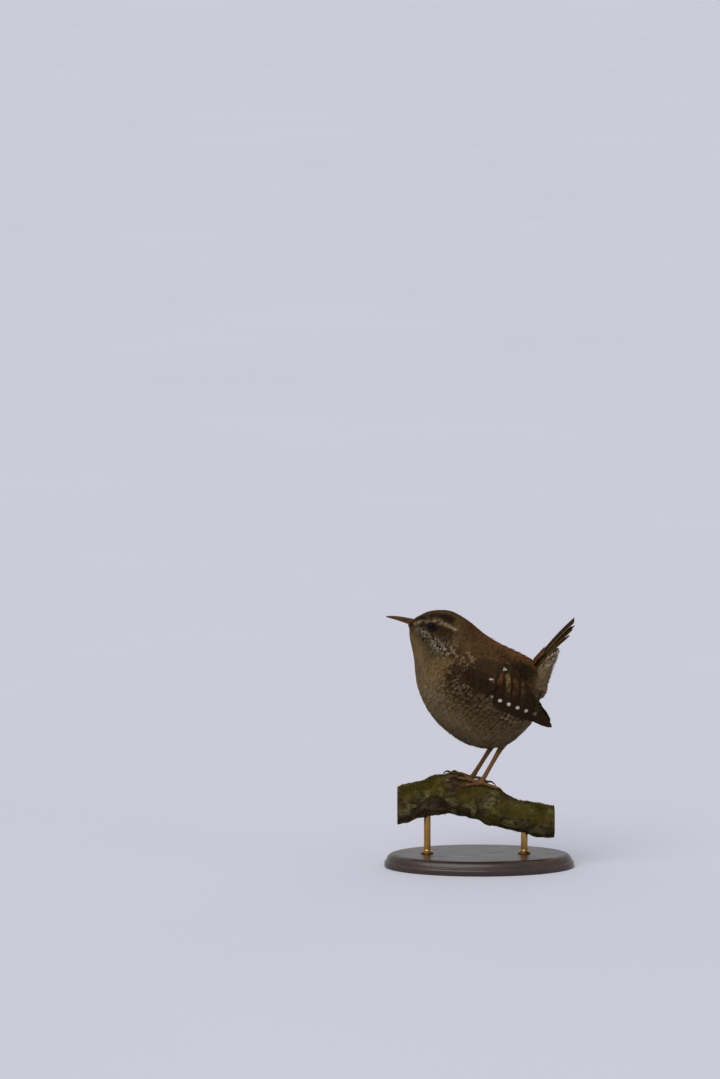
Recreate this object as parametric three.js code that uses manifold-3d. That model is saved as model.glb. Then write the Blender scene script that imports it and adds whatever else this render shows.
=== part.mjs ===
// A Eurasian wren, life size, gripping a cut length of mossy branch on a plain display stand.
// Millimetres, +Z up. The bird faces -X. The origin is the centre of the stand's underside.
import * as THREE from "three";
import { mergeVertices } from "three/addons/utils/BufferGeometryUtils.js";
import Module from "manifold-3d";

const wasm = await Module();
wasm.setup();

// Sizes that drive the rest
const SEAM = 0.3; // gap that neighbouring pieces keep
const VANE = 0.55; // thickness of a feather at its shaft
const LEFT = -1; // the bird's left side is towards -Y
const RIGHT = 1;

// Ribs of the body from the face to the vent: [top x, top z, under x, under z, half width].
// A rib is an upright oval that runs from its top point to its under point.
const RIBS = [
  [-30.6, 109.9, -31.2, 106.9, 1.9],
  [-29.6, 110.5, -31.1, 105.4, 3.5],
  [-26.4, 112.3, -31.0, 102.9, 5.0],
  [-22.7, 114.0, -30.4, 99.7, 6.9],
  [-18.0, 114.7, -29.6, 96.1, 8.0],
  [-12.8, 114.3, -28.9, 91.8, 9.2],
  [-7.5, 111.7, -28.5, 86.7, 10.9],
  [-2.6, 108.2, -27.5, 80.5, 13.2],
  [2.6, 103.8, -24.9, 73.9, 15.2],
  [8.4, 100.1, -20.4, 67.1, 16.4],
  [13.6, 97.5, -13.6, 60.3, 16.8],
  [18.4, 95.2, -5.0, 55.1, 16.2],
  [21.9, 93.4, 4.2, 53.3, 14.7],
  [24.3, 91.4, 12.0, 55.0, 12.6],
  [26.5, 89.0, 18.4, 59.8, 10.0],
  [28.2, 85.6, 23.3, 65.6, 6.8],
  [28.8, 81.6, 26.6, 73.0, 3.4],
];
const HEAD_END = 5.3; // rib number where the head meets the neck
const NECK_END = 6.9; // rib number where the neck meets the torso
const RIB_SEAM = 0.07; // a seam's width, counted in ribs
const OVAL = 2.12; // how square a rib is: 2 is an ellipse
const PEAR = 0.07; // how much wider a rib is low down than high up

const EYE = { x: -21.3, z: 108.4, radius: 2.1, proud: 0.9 };
const LID_RADIUS = 2.3;
const LID_ROLL = 0.42;
const LID_RISE = -0.25; // of the lids' rim over the face

const BILL_ROOT = [-28.2, 108.6]; // x and z, inside the face
const BILL_TIP = [-41.4, 112.1];
const BILL_DEPTH = 2.3;
const BILL_WIDTH = 3.3;
const MOUTH_GAP = 0.16;
const NOSTRIL = { x: -32.3, out: 1.36, z: 110.1 };

const WING_WRIST = [-12.6, 91.0];
const WING_TIP = [31.7, 63.8];
const WING_TIP_OUT = 8.6; // distance of the wing tips from the bird's middle plane

// Rows of feathers on the folded wing, from its lower edge up, each row over the one before.
// Roots and tips lie on curves through [u, v]: u from the wrist to the tip, v up across the wing.
// A lift is the height of the undersides over the flank, for the first and the last of the row.
const WING_ROWS = {
  primaries: {
    count: 7,
    roots: [[10, -4], [14, -1]],
    tips: [[31, -4.4], [41, -3.2], [47.4, -1.8], [50.8, -0.7], [51.6, 0.2], [49.6, 1.2], [47, 2.4]],
    width: [3, 3.6],
    lift: [0.8, 1.1],
    lean: 0.6,
    bow: -0.8,
  },
  secondaries: {
    count: 5,
    roots: [[14, 0.5], [16, 6]],
    tips: [[44.4, 3.7], [41.8, 5], [39.2, 6.3], [36.8, 7.6], [34.2, 8.9]],
    width: [3.6, 3.8],
    lift: [1.15, 1.45],
    lean: 0.6,
    bow: -0.5,
  },
  tertials: {
    count: 3,
    roots: [[13, 7], [15, 10]],
    tips: [[35.6, 8.4], [31.8, 10], [27.6, 11.6]],
    width: [4.2, 4],
    lift: [1.6, 2],
    lean: 0.6,
    bow: 0.6,
  },
  greaterCoverts: {
    count: 6,
    roots: [[6, -3.6], [9, -1], [11, 3], [12, 8]],
    tips: [[18.5, -5], [23, -3], [25.8, 1], [26, 5], [24.4, 9]],
    width: [3.2, 3.6],
    lift: [1.5, 2.3],
    lean: 0.45,
    bow: -0.3,
  },
  medianCoverts: {
    count: 5,
    roots: [[3, -2], [5, 3], [6, 8]],
    tips: [[12.4, -3.6], [15.4, 0.5], [15.2, 5], [14.8, 9]],
    width: [3.4, 3.6],
    lift: [1.9, 2.6],
    lean: 0.4,
    bow: 0,
  },
  scapulars: {
    count: 3,
    roots: [[4, 8], [9, 10]],
    tips: [[15.5, 10.6], [20.5, 12], [26, 12.9]],
    width: [4.2, 4],
    lift: [2.3, 2.2],
    lean: 0.3,
    bow: 0.5,
  },
};
const WING_ROOT_SINK = 0.35; // how much lower a feather's root lies than its tip

const TAIL_ROOT = [24.3, 91.0];
const TAIL_ANGLE = [56, 42]; // degrees above level at the root and at the tip
const TAIL_DROOP = 0.062; // how far the fan falls away at its sides, per mm squared
const RECTRICES = [26.6, 26.4, 25.9, 24.9, 23.2, 20.4]; // lengths from the middle pair outwards
const FAN_FIRST = 0.8; // degrees that the middle pair turns out
const FAN_STEP = 1.5; // degrees more for each pair
const TAIL_STEP = 0.28; // how much lower each pair lies than the one inside it
const TAIL_LENGTH = RECTRICES[0];

// The feathers under the tail: x, z of their core's middle line, its half depth and half width.
const VENT_LINE = [
  [23, 81.5, 5.0, 7.2],
  [27.5, 84, 4.3, 6.4],
  [30.3, 89, 2.7, 4.8],
  [32.4, 93.6, 1.4, 3.0],
  [34.2, 97.2, 0.4, 0.8],
];
const VENT_GIRTH = 5; // mm across the feathers for each radian round the core
// Its rows of feathers: places across, root and tip along the core, and how far the two are raised.
const VENT_ROWS = [
  { across: [-8.8, -4.4, 0, 4.4, 8.8], root: 3, tip: 11, lift: [0, 0.7] },
  { across: [-6.6, -2.2, 2.2, 6.6], root: 7, tip: 15, lift: [0, 0.5] },
  { across: [-3.4, 3.4], root: 11, tip: 18.6, lift: [0, 0.3] },
];

const PERCH_LINE = [
  [-36, 27.4, 8.3],
  [-26.4, 29.9, 8.4],
  [-19.1, 32.0, 8.5],
  [-13.5, 32.6, 8.9],
  [-7.3, 31.5, 8.8],
  [-1.5, 29.9, 8.9],
  [3.5, 28.2, 8.9],
  [8.6, 26.6, 8.8],
  [12.4, 24.4, 7.7],
  [17, 22.8, 7.2],
  [24, 21.2, 7.3],
  [33, 20.2, 7.4],
]; // x, z of the branch's middle and its radius

const LEGS = {
  right: { side: RIGHT, foot: -2.9, arc: 3.3, ankle: [6.4, 3.7, 54.6] },
  left: { side: LEFT, foot: 0.7, arc: -3.9, ankle: [10, -4.1, 54.9] },
};
const SHANK = { depth: 1.8, width: 1.35 };
const SOCK = [
  [-2.4, 1.2],
  [-1.2, 1.5],
  [0.6, 1.9],
  [3, 2.2],
  [6, 2.3],
]; // place along the shank from its top, and radius
const TOE_RADIUS = 0.66;
const CLAW_ARCH = 0.65; // how high a claw bows over the perch

const BASE = { length: 84, width: 52, height: 6 };
const BASE_EDGE = [
  [0, 0],
  [0, 2.3],
  [0.8, 3.05],
  [1.95, 5.15],
  [4.2, 6],
]; // how far the oval is drawn in at each height, from the underside up
const ROD_RADIUS = 1.5;
const ROD_X = [-23, 20];
const ROD_SINK = 2.5; // how far a rod goes into the branch and into the base

const COLOURS = {
  crown: [0x4a3522, 0.8],
  mantle: [0x543a23, 0.8],
  breast: [0x75604a, 0.85],
  wing: [0x4b3220, 0.75],
  tail: [0x563a22, 0.75],
  coverts: [0x6a563f, 0.85],
  bill: [0x4a3826, 0.45],
  eye: [0x0d0907, 0.08],
  leg: [0x7a5236, 0.5],
  moss: [0x4d4a22, 0.95],
  stand: [0x2c2420, 0.4],
  rod: [0x8c7a52, 0.3],
};

const V = (x, y, z) => new THREE.Vector3(x, y, z);
const lerp = THREE.MathUtils.lerp;
const smooth = THREE.MathUtils.smoothstep;
const radians = THREE.MathUtils.degToRad;
const mix = (a, b, t) => a.map((value, i) => lerp(value, b[i], t));

// Closed surfaces and solids

// Signed volume of an indexed surface, negative where its faces point inwards.
function signedVolume(points, faces) {
  let sum = 0;
  for (const [a, b, c] of faces)
    sum += points[a].dot(points[b].clone().cross(points[c]));
  return sum / 6;
}

// A solid from points and triangles, turned to face outwards.
function solidFrom(points, faces) {
  const out = signedVolume(points, faces) < 0;
  const triVerts = new Uint32Array(
    faces.flatMap(([a, b, c]) => (out ? [a, c, b] : [a, b, c])),
  );
  const vertProperties = new Float32Array(
    points.flatMap((p) => [p.x, p.y, p.z]),
  );
  return new wasm.Manifold(
    new wasm.Mesh({ numProp: 3, vertProperties, triVerts }),
  );
}

// A solid from a closed three.js geometry.
function solidOf(geometry) {
  const bare = geometry.index ? geometry.toNonIndexed() : geometry.clone();
  bare.deleteAttribute("normal");
  bare.deleteAttribute("uv");
  const merged = mergeVertices(bare, 1e-4);
  const position = merged.getAttribute("position");
  const points = [];
  for (let i = 0; i < position.count; i++)
    points.push(V(position.getX(i), position.getY(i), position.getZ(i)));
  const faces = [];
  for (let i = 0; i < merged.index.count; i += 3)
    faces.push([0, 1, 2].map((k) => merged.index.getX(i + k)));
  return solidFrom(points, faces);
}

// Rings of equal count skinned into one closed solid, with each end closed to its middle.
function loft(rings) {
  const count = rings[0].length;
  const points = rings.flat();
  const faces = [];
  for (let i = 0; i + 1 < rings.length; i++)
    for (let j = 0; j < count; j++) {
      const next = (j + 1) % count;
      const [a, b] = [i * count + j, i * count + next];
      faces.push([a, b, b + count], [a, b + count, a + count]);
    }
  [0, rings.length - 1].forEach((end) => {
    const middle = V(0, 0, 0);
    rings[end].forEach((p) => middle.addScaledVector(p, 1 / count));
    const hub = points.push(middle) - 1;
    for (let j = 0; j < count; j++) {
      const [a, b] = [end * count + j, end * count + ((j + 1) % count)];
      faces.push(end ? [a, b, hub] : [b, a, hub]);
    }
  });
  return solidFrom(points, faces);
}

// A round or oval rod along points, with its own half depth and half width at each.
function rod(path, depths, widths, sides) {
  const rings = path.map((centre, i) => {
    const ahead = path[Math.min(i + 1, path.length - 1)];
    const behind = path[Math.max(i - 1, 0)];
    const along = ahead.clone().sub(behind).normalize();
    const across = V(0, 1, 0).addScaledVector(along, -along.y).normalize();
    const up = across.clone().cross(along);
    return Array.from({ length: sides }, (_, j) => {
      const turn = (2 * Math.PI * j) / sides;
      return centre
        .clone()
        .addScaledVector(up, depths[i] * Math.cos(turn))
        .addScaledVector(across, widths[i] * Math.sin(turn));
    });
  });
  return loft(rings);
}

// A thin blade on a sheet. at(p, q, h) gives the place of sheet point p, q at height h.
// Both faces are split into triangles alike. The width follows outline(t) from root to tip.
function blade(at, spec) {
  const { root, tip, width, outline = featherOutline } = spec;
  const { bow = 0, lean = 0, thick = VANE, thin = 0.6 } = spec;
  const { lift = [0, 0], columns = 2, spans = 3, ease = 1.7 } = spec;
  const { swell = () => 1 } = spec;
  const camber = columns > 1 ? 0.35 : 0;
  const along = [tip[0] - root[0], tip[1] - root[1]];
  const length = Math.hypot(...along);
  const side = [-along[1] / length, along[0] / length];
  const top = [];
  const under = [];
  for (let i = 0; i <= spans; i++) {
    const t = 1 - (1 - i / spans) ** ease;
    const half = (width / 2) * outline(t);
    const shift = bow * 4 * t * (1 - t);
    for (let j = 0; j <= columns; j++) {
      const k = (2 * j) / columns - 1;
      const p = root[0] + along[0] * t + side[0] * (shift + half * k);
      const q = root[1] + along[1] * t + side[1] * (shift + half * k);
      const low = lerp(lift[0], lift[1], t) + (lean * (1 - k)) / 2;
      const deep = thick * swell(t) * lerp(1, thin, t) * (1 - camber * k * k);
      under.push(at(p, q, low));
      top.push(at(p, q, low + deep));
    }
  }
  const points = [...top, ...under];
  const row = columns + 1;
  const below = top.length;
  const faces = [];
  const quad = (a, b, c, d) => faces.push([a, b, c], [a, c, d]);
  for (let i = 0; i < spans; i++)
    for (let j = 0; j < columns; j++) {
      const a = i * row + j;
      quad(a, a + 1, a + 1 + row, a + row);
      quad(below + a, below + a + row, below + a + 1 + row, below + a + 1);
      // The two faces above share one diagonal, from corner a to the far corner.
    }
  for (let i = 0; i < spans; i++) {
    const [a, b] = [i * row, i * row + columns];
    quad(a, a + row, below + a + row, below + a);
    quad(b + row, b, below + b, below + b + row);
  }
  for (let j = 0; j < columns; j++) {
    const end = spans * row + j;
    quad(j + 1, j, below + j, below + j + 1);
    quad(end, end + 1, below + end + 1, below + end);
  }
  return solidFrom(points, faces);
}

// Half width of a feather along its length: a narrow root and a rounded tip.
function featherOutline(t) {
  const swell = 0.5 + 0.5 * smooth(t, 0, 0.4);
  const end = Math.max(0, (t - 0.55) / 0.45);
  return swell * Math.sqrt(1 - 0.92 * end * end);
}

// Half width of a pad that is round at both ends.
const padOutline = (t) => 0.3 + 0.7 * Math.sin(Math.PI * t) ** 0.5;

// Half width of a block that is as wide at both ends.
const evenOutline = () => 1;

const union = (solids) =>
  solids.length > 1 ? wasm.Manifold.union(solids) : solids[0];

// The largest closed surface of a solid, without scraps or sealed hollows.
function largest(solid) {
  return solid
    .decompose()
    .reduce((best, part) => (part.volume() > best.volume() ? part : best));
}

// The body

const ribTops = new THREE.CatmullRomCurve3(
  RIBS.map(([x, z, , , half]) => V(x, half, z)),
);
const ribUnders = new THREE.CatmullRomCurve3(
  RIBS.map(([, , x, z]) => V(x, 0, z)),
);

// Middle, upward direction, half height and half width of the rib numbered s.
function ribAt(s) {
  const t = s / (RIBS.length - 1);
  const top = ribTops.getPoint(t);
  const under = ribUnders.getPoint(t);
  const half = top.y;
  top.y = 0;
  const up = top.clone().sub(under).multiplyScalar(0.5);
  const middle = top.clone().add(under).multiplyScalar(0.5);
  return { middle, up: up.clone().normalize(), reach: up.length(), half };
}

// The point of rib s at angle turn from its top, grown outwards.
function skinPoint(s, turn, grow = 0) {
  const { middle, up, reach, half } = ribAt(s);
  const power = (v) => Math.sign(v) * Math.abs(v) ** (2 / OVAL);
  const high = power(Math.cos(turn));
  const wide = power(Math.sin(turn)) * (1 - PEAR * high);
  return middle
    .addScaledVector(up, (reach + grow) * high)
    .add(V(0, (half + grow) * wide, 0));
}

function bodyLoft(from, to, steps, sides, grow = 0) {
  return loft(
    Array.from({ length: steps + 1 }, (_, i) =>
      Array.from({ length: sides }, (_, j) =>
        skinPoint(
          lerp(from, to, i / steps),
          (2 * Math.PI * j) / sides,
          grow,
        ),
      ),
    ),
  );
}

// Half width of the body at x, z as seen from the side, and 0 outside its outline.
function bodyHalfWidth(x, z) {
  const miss = (s) => {
    const { middle, up } = ribAt(s);
    return (x - middle.x) * up.z - (z - middle.z) * up.x;
  };
  let [low, high] = [3, RIBS.length - 1];
  if (miss(low) < 0 || miss(high) > 0) return 0;
  for (let i = 0; i < 30; i++) {
    const s = (low + high) / 2;
    if (miss(s) > 0) low = s;
    else high = s;
  }
  const { middle, up, reach, half } = ribAt(low);
  const c = ((x - middle.x) * up.x + (z - middle.z) * up.z) / reach;
  if (Math.abs(c) >= 1) return 0;
  return half * (1 - PEAR * c) * (1 - Math.abs(c) ** OVAL) ** (1 / OVAL);
}

// The three lengths of the body, and the same grown by a seam, which other pieces are cut by.
const headSkin = (grow) => bodyLoft(0, HEAD_END, 14, 28, grow);
const neckSkin = (grow) => bodyLoft(HEAD_END + RIB_SEAM, NECK_END, 5, 28, grow);
const torsoSkin = (grow) =>
  bodyLoft(NECK_END + RIB_SEAM, RIBS.length - 1, 18, 28, grow);
const headClear = headSkin(SEAM);
const torsoClear = torsoSkin(SEAM);

// The head

// The face where the eye sits: its surface point and outward direction on one side.
function eyeSeat(side) {
  const step = 0.3;
  const slope = (dx, dz) =>
    (bodyHalfWidth(EYE.x + dx, EYE.z + dz) - bodyHalfWidth(EYE.x - dx, EYE.z - dz)) /
    (2 * step);
  const outward = V(-slope(step, 0), 1, -slope(0, step)).normalize();
  outward.y *= side;
  return { place: V(EYE.x, side * bodyHalfWidth(EYE.x, EYE.z), EYE.z), outward };
}

function eyeCentre(side) {
  const { place, outward } = eyeSeat(side);
  return place.addScaledVector(outward, EYE.proud - EYE.radius);
}

function ball(centre, radius, columns = 16, rows = 10) {
  const shape = new THREE.SphereGeometry(radius, columns, rows);
  return solidOf(shape.translate(centre.x, centre.y, centre.z));
}

// The rolled rim of the lids, where the ball leaves the face.
function lidRing(side) {
  const { place, outward } = eyeSeat(side);
  const rim = new THREE.TorusGeometry(LID_RADIUS, LID_ROLL, 5, 16);
  rim.scale(1.05, 0.94, 1);
  rim.lookAt(outward);
  const centre = place.addScaledVector(outward, LID_RISE);
  return solidOf(rim.translate(centre.x, centre.y, centre.z));
}

function makeEye(side) {
  return ball(eyeCentre(side), EYE.radius);
}

// The corner of the mouth, a shallow slot that runs back from the bill's root on each side.
function mouthCorner(side) {
  const at = (p, q, h) => V(p, side * (1.4 + h), q);
  const [root, tip] = [[-31.6, 109.5], [-27.6, 108.1]];
  return blade(at, { root, tip, width: 0.5, thick: 3, spans: 2 });
}

function makeHead() {
  const skull = headSkin(0);
  const lids = [LEFT, RIGHT].map(lidRing);
  const sockets = [LEFT, RIGHT].map((side) =>
    ball(eyeCentre(side), EYE.radius + SEAM),
  );
  const corners = [LEFT, RIGHT].map(mouthCorner);
  return largest(
    union([skull, ...lids]).subtract(union([...sockets, ...corners])),
  );
}

// The bill. t runs from the root to the tip, and the mouth line divides its depth.
function billHalf(upper) {
  const stations = 9;
  const rings = Array.from({ length: stations + 1 }, (_, i) => {
    const t = i / stations;
    const [x, z] = mix(BILL_ROOT, BILL_TIP, t);
    const taper = (1 - t) ** 0.85;
    const depth = (upper ? 0.55 : 0.45) * BILL_DEPTH * taper + 0.2;
    const width = (BILL_WIDTH / 2) * taper * (upper ? 1 : 0.9) + 0.2;
    const turnOut = upper ? 1 : -1;
    const line = z + 0.15 * Math.sin(Math.PI * t) + (turnOut * MOUTH_GAP) / 2;
    const sides = 9;
    return Array.from({ length: sides + 1 }, (_, j) => {
      const turn = (Math.PI * j) / sides;
      return V(x, Math.cos(turn) * width, line + turnOut * depth * Math.sin(turn));
    });
  });
  return loft(rings);
}

function nostril(side) {
  const slit = new THREE.SphereGeometry(0.6, 8, 6);
  slit.scale(1.5, 0.5, 0.42);
  slit.rotateY(0.25);
  slit.translate(NOSTRIL.x, side * NOSTRIL.out, NOSTRIL.z);
  return solidOf(slit);
}

function makeBillUpper() {
  const nostrils = union([LEFT, RIGHT].map(nostril));
  return largest(billHalf(true).subtract(headClear).subtract(nostrils));
}

function makeBillLower() {
  return largest(billHalf(false).subtract(headClear));
}

// The wings

const wingSpan = Math.hypot(
  WING_TIP[0] - WING_WRIST[0],
  WING_TIP[1] - WING_WRIST[1],
);
const wingAlong = [
  (WING_TIP[0] - WING_WRIST[0]) / wingSpan,
  (WING_TIP[1] - WING_WRIST[1]) / wingSpan,
];

// Distance of the folded wing's sheet from the middle plane: the flank, and past it the tip's own.
function sheetOut(x, z) {
  return (bodyHalfWidth(x, z) ** 6 + WING_TIP_OUT ** 6) ** (1 / 6);
}

// u runs from the wrist to the tip, v up across the wing, h out from the flank.
function wingPoint(side) {
  return (u, v, h) => {
    const x = WING_WRIST[0] + u * wingAlong[0] - v * wingAlong[1];
    const z = WING_WRIST[1] + u * wingAlong[1] + v * wingAlong[0];
    const out = sheetOut(x, z);
    const step = 0.4;
    const slopeX = (sheetOut(x + step, z) - sheetOut(x - step, z)) / (2 * step);
    const slopeZ = (sheetOut(x, z + step) - sheetOut(x, z - step)) / (2 * step);
    const normal = V(-slopeX, 1, -slopeZ).normalize();
    const place = V(x, out, z).addScaledVector(normal, h);
    return V(place.x, side * place.y, place.z);
  };
}

// Feathers side by side, their roots and tips on two curves of the sheet.
function featherRow(at, row) {
  const onCurve = (points, t) => {
    const curve = new THREE.CatmullRomCurve3(points.map(([u, v]) => V(u, v, 0)));
    return curve.getPoint(t).toArray().slice(0, 2);
  };
  return Array.from({ length: row.count }, (_, i) => {
    const t = i / (row.count - 1);
    const height = lerp(...row.lift, t);
    return blade(at, {
      ...row,
      root: onCurve(row.roots, t),
      tip: onCurve(row.tips, t),
      width: lerp(...row.width, t),
      lift: [height - WING_ROOT_SINK, height],
      columns: 1,
    });
  });
}

// The shoulder, a low pad that the roots of all rows are sunk in.
function wingPad(at) {
  return blade(at, {
    root: [0, 2.6],
    tip: [23, 3.4],
    width: 13,
    thick: 2,
    thin: 0.25,
    lift: [SEAM + 0.05, SEAM + 0.05],
    columns: 4,
    spans: 7,
    ease: 1,
    swell: (t) => Math.min(1, 0.3 + 4 * t),
    outline: padOutline,
  });
}

function makeWing(side) {
  const at = wingPoint(side);
  const rows = Object.values(WING_ROWS).flatMap((row) => featherRow(at, row));
  return largest(union([wingPad(at), ...rows]));
}

// The tail

// p runs along the tail from its root, q across it, h up from its upper face.
function tailPoint(p, q, h) {
  const [start, end] = TAIL_ANGLE.map(radians);
  const bend = (start - end) / TAIL_LENGTH;
  const angle = start - bend * p;
  const x = TAIL_ROOT[0] + (Math.sin(start) - Math.sin(angle)) / bend;
  const z = TAIL_ROOT[1] + (Math.cos(angle) - Math.cos(start)) / bend;
  const rise = h - TAIL_DROOP * q * q;
  return V(x - Math.sin(angle) * rise, q, z + Math.cos(angle) * rise);
}

// One tail feather of a pair, side 1 or -1 of the middle.
function rectrix(pair, side) {
  const turn = radians(FAN_FIRST + FAN_STEP * pair);
  const length = RECTRICES[pair];
  const start = [-3, 0.35 + 0.25 * pair];
  const reach = length - start[0];
  const height = -TAIL_STEP * (pair + (side < 0 ? 0.4 : 0));
  return blade(tailPoint, {
    root: [start[0], side * start[1]],
    tip: [start[0] + reach * Math.cos(turn), side * (start[1] + reach * Math.sin(turn))],
    width: 4.6 - 0.3 * pair,
    lift: [height, height],
  });
}

// The room that the tail takes, from its lowest feather up.
function tailRoom() {
  const floor = -TAIL_STEP * RECTRICES.length - SEAM;
  return blade(tailPoint, {
    root: [-4, 0],
    tip: [TAIL_LENGTH, 0],
    width: 24,
    thick: 6,
    lift: [floor, floor],
    columns: 6,
    spans: 6,
    outline: evenOutline,
  });
}

function makeTail() {
  const fan = RECTRICES.flatMap((_, pair) => [
    rectrix(pair, LEFT),
    rectrix(pair, RIGHT),
  ]);
  return largest(union(fan).subtract(torsoClear));
}

// Short feathers over the tail's base, the middle one longest and highest.
function makeUppertailCoverts() {
  const across = [-3.4, -1.8, 0, 1.8, 3.4];
  const vanes = across.map((q) => {
    const share = Math.abs(q) / 3.4;
    const height = VANE + SEAM + 0.1 - 0.25 * share;
    return blade(tailPoint, {
      root: [-5, q * 0.8],
      tip: [9.5 - 3 * share, q],
      width: 3.6,
      lift: [height + 0.1, height + 0.15],
    });
  });
  return largest(union(vanes).subtract(torsoClear));
}

const ventCurve = new THREE.CatmullRomCurve3(
  VENT_LINE.map(([x, z]) => V(x, 0, z)),
);
const ventSize = new THREE.CatmullRomCurve3(
  VENT_LINE.map(([, , depth, width]) => V(depth, width, 0)),
);

// A point on the core under the tail: t along it, turned from its rear face, raised by h.
function ventPoint(t, turn, h) {
  const along = ventCurve.getTangent(Math.min(t, 1));
  const past = Math.max(t - 1, 0) * ventCurve.getLength();
  const centre = ventCurve.getPoint(Math.min(t, 1)).addScaledVector(along, past);
  const { x: depth, y: width } = ventSize.getPoint(Math.min(t, 1));
  return centre
    .addScaledVector(V(along.z, 0, -along.x), (depth + h) * Math.cos(turn))
    .add(V(0, (width + h) * Math.sin(turn), 0));
}

function makeUndertailCoverts() {
  const sides = 12;
  const rings = 6;
  const core = loft(
    Array.from({ length: rings + 1 }, (_, i) =>
      Array.from({ length: sides }, (_, j) =>
        ventPoint(i / rings, (2 * Math.PI * j) / sides, 0),
      ),
    ),
  );
  const length = ventCurve.getLength();
  const at = (p, q, h) => ventPoint(p / length, q / VENT_GIRTH, h);
  const vanes = VENT_ROWS.flatMap(({ across, root, tip, lift }) =>
    across.map((q) =>
      blade(at, { root: [root, q], tip: [tip, q * 0.9], width: 3.8, lift, columns: 1 }),
    ),
  );
  return largest(union([core, ...vanes]).subtract(torsoClear).subtract(tailRoom()));
}

// The perch

const perchCurve = new THREE.CatmullRomCurve3(
  PERCH_LINE.map(([x, z, radius]) => V(x, radius, z)),
);

// Knobs and hollows of the bark, as a share of the radius.
function barkSwell(x, turn) {
  return (
    0.022 * Math.sin(0.55 * x + 2 * Math.sin(turn)) +
    0.02 * Math.sin(0.31 * x + 2 * turn) +
    0.014 * Math.sin(0.9 * x + 3 * turn + 1)
  );
}

// The branch's surface at x, turned from its top, raised by h.
function perchPoint(x, turn, h = 0) {
  const first = PERCH_LINE[0][0];
  const last = PERCH_LINE.at(-1)[0];
  let [low, high] = [0, 1];
  for (let i = 0; i < 30; i++) {
    const t = (low + high) / 2;
    if (perchCurve.getPoint(t).x < Math.min(Math.max(x, first), last)) low = t;
    else high = t;
  }
  const { y: radius, z } = perchCurve.getPoint(low);
  const out = radius * (1 + barkSwell(x, turn)) + h;
  return V(x, out * Math.sin(turn), z + out * Math.cos(turn));
}

function makePerch() {
  const steps = 27;
  const sides = 16;
  const first = PERCH_LINE[0][0];
  const last = PERCH_LINE.at(-1)[0];
  const branch = loft(
    Array.from({ length: steps + 1 }, (_, i) =>
      Array.from({ length: sides }, (_, j) =>
        perchPoint(lerp(first, last, i / steps), (2 * Math.PI * j) / sides),
      ),
    ),
  );
  return largest(branch.subtract(union(ROD_X.map((x) => rodSolid(x, SEAM)))));
}

// The legs

const footCentre = (leg) => perchPoint(leg.foot, footTurn(leg), SEAM + 1.25);
const footTurn = (leg) => leg.arc / 8.5;

function shank(leg, grow = 0) {
  const start = footCentre(leg);
  const end = V(...leg.ankle);
  const shares = [0.05, 0.15, 0.5, 0.85, 1];
  const path = shares.map((t) => start.clone().lerp(end, t));
  const swell = [1.0, 0.88, 0.85, 1.0, 1.15];
  const depths = swell.map((s) => (s * SHANK.depth) / 2 + grow);
  const widths = swell.map((s) => (s * SHANK.width) / 2 + grow);
  return rod(path, depths, widths, 10);
}

// The feathered sock round the top of a shank, in line with it.
function makeThigh(leg) {
  const ankle = V(...leg.ankle);
  const upwards = ankle.clone().sub(footCentre(leg)).normalize();
  const sock = SOCK.map(([reach]) => ankle.clone().addScaledVector(upwards, reach));
  const radii = SOCK.map(([, radius]) => radius);
  const shape = rod(sock, radii, radii, 12);
  return largest(shape.subtract(torsoClear).subtract(shank(leg, SEAM)));
}

// One toe on the perch: turned from straight ahead, with a pad at each joint, and on into its claw.
function toe(leg, { turn, length, claw }) {
  const direction = [-Math.cos(turn), leg.side * Math.sin(turn)];
  const along = (reach, h) =>
    perchPoint(
      leg.foot + direction[0] * reach,
      footTurn(leg) + (direction[1] * reach) / 8.5,
      h,
    );
  const low = SEAM + TOE_RADIUS * 1.15;
  const flesh = [0, 0.17, 0.34, 0.5, 0.67, 0.84, 0.97].map((t) => ({
    place: along(length * t, low + 0.3 * (1 - t)),
    thick: TOE_RADIUS * (1.1 - 0.3 * t + 0.12 * Math.cos(6 * Math.PI * t)),
  }));
  const hook = [0.04, 0.3, 0.6, 0.85, 1].map((t) => ({
    place: along(
      length + claw * (0.9 * t - 0.1 * t * t),
      low + CLAW_ARCH * Math.sin(Math.PI * t) - 0.45 * t * t,
    ),
    thick: lerp(0.46, 0.12, t ** 1.3),
  }));
  const stations = [...flesh, ...hook];
  const radii = stations.map(({ thick }) => thick);
  return rod(stations.map(({ place }) => place), radii, radii, 6);
}

// The middle, outer, inner and hind toes. A turn is away from the other foot.
const TOES = [
  { turn: radians(3), length: 10.2, claw: 4.2 },
  { turn: radians(28), length: 7.9, claw: 3.6 },
  { turn: radians(-14), length: 7.4, claw: 3.4 },
  { turn: radians(178), length: 7.0, claw: 4.8 },
];

function makeFoot(leg) {
  const knuckle = ball(footCentre(leg), 1.1, 8, 6);
  const toes = TOES.map((spec) => toe(leg, spec));
  return largest(union([knuckle, ...toes]).subtract(shank(leg, SEAM)));
}

// The torso, with a socket where the top of each shank goes in.
function makeTorso() {
  const sockets = Object.values(LEGS).map((leg) => shank(leg, SEAM));
  return largest(torsoSkin(0).subtract(union(sockets)));
}

// The stand

function rodSolid(x, grow = 0) {
  const low = BASE.height - ROD_SINK - grow;
  const high = perchPoint(x, Math.PI).z + ROD_SINK + grow;
  const shape = new THREE.CylinderGeometry(
    ROD_RADIUS + grow,
    ROD_RADIUS + grow,
    high - low,
    20,
  );
  shape.rotateX(Math.PI / 2);
  return solidOf(shape.translate(x, 0, (low + high) / 2));
}

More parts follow.
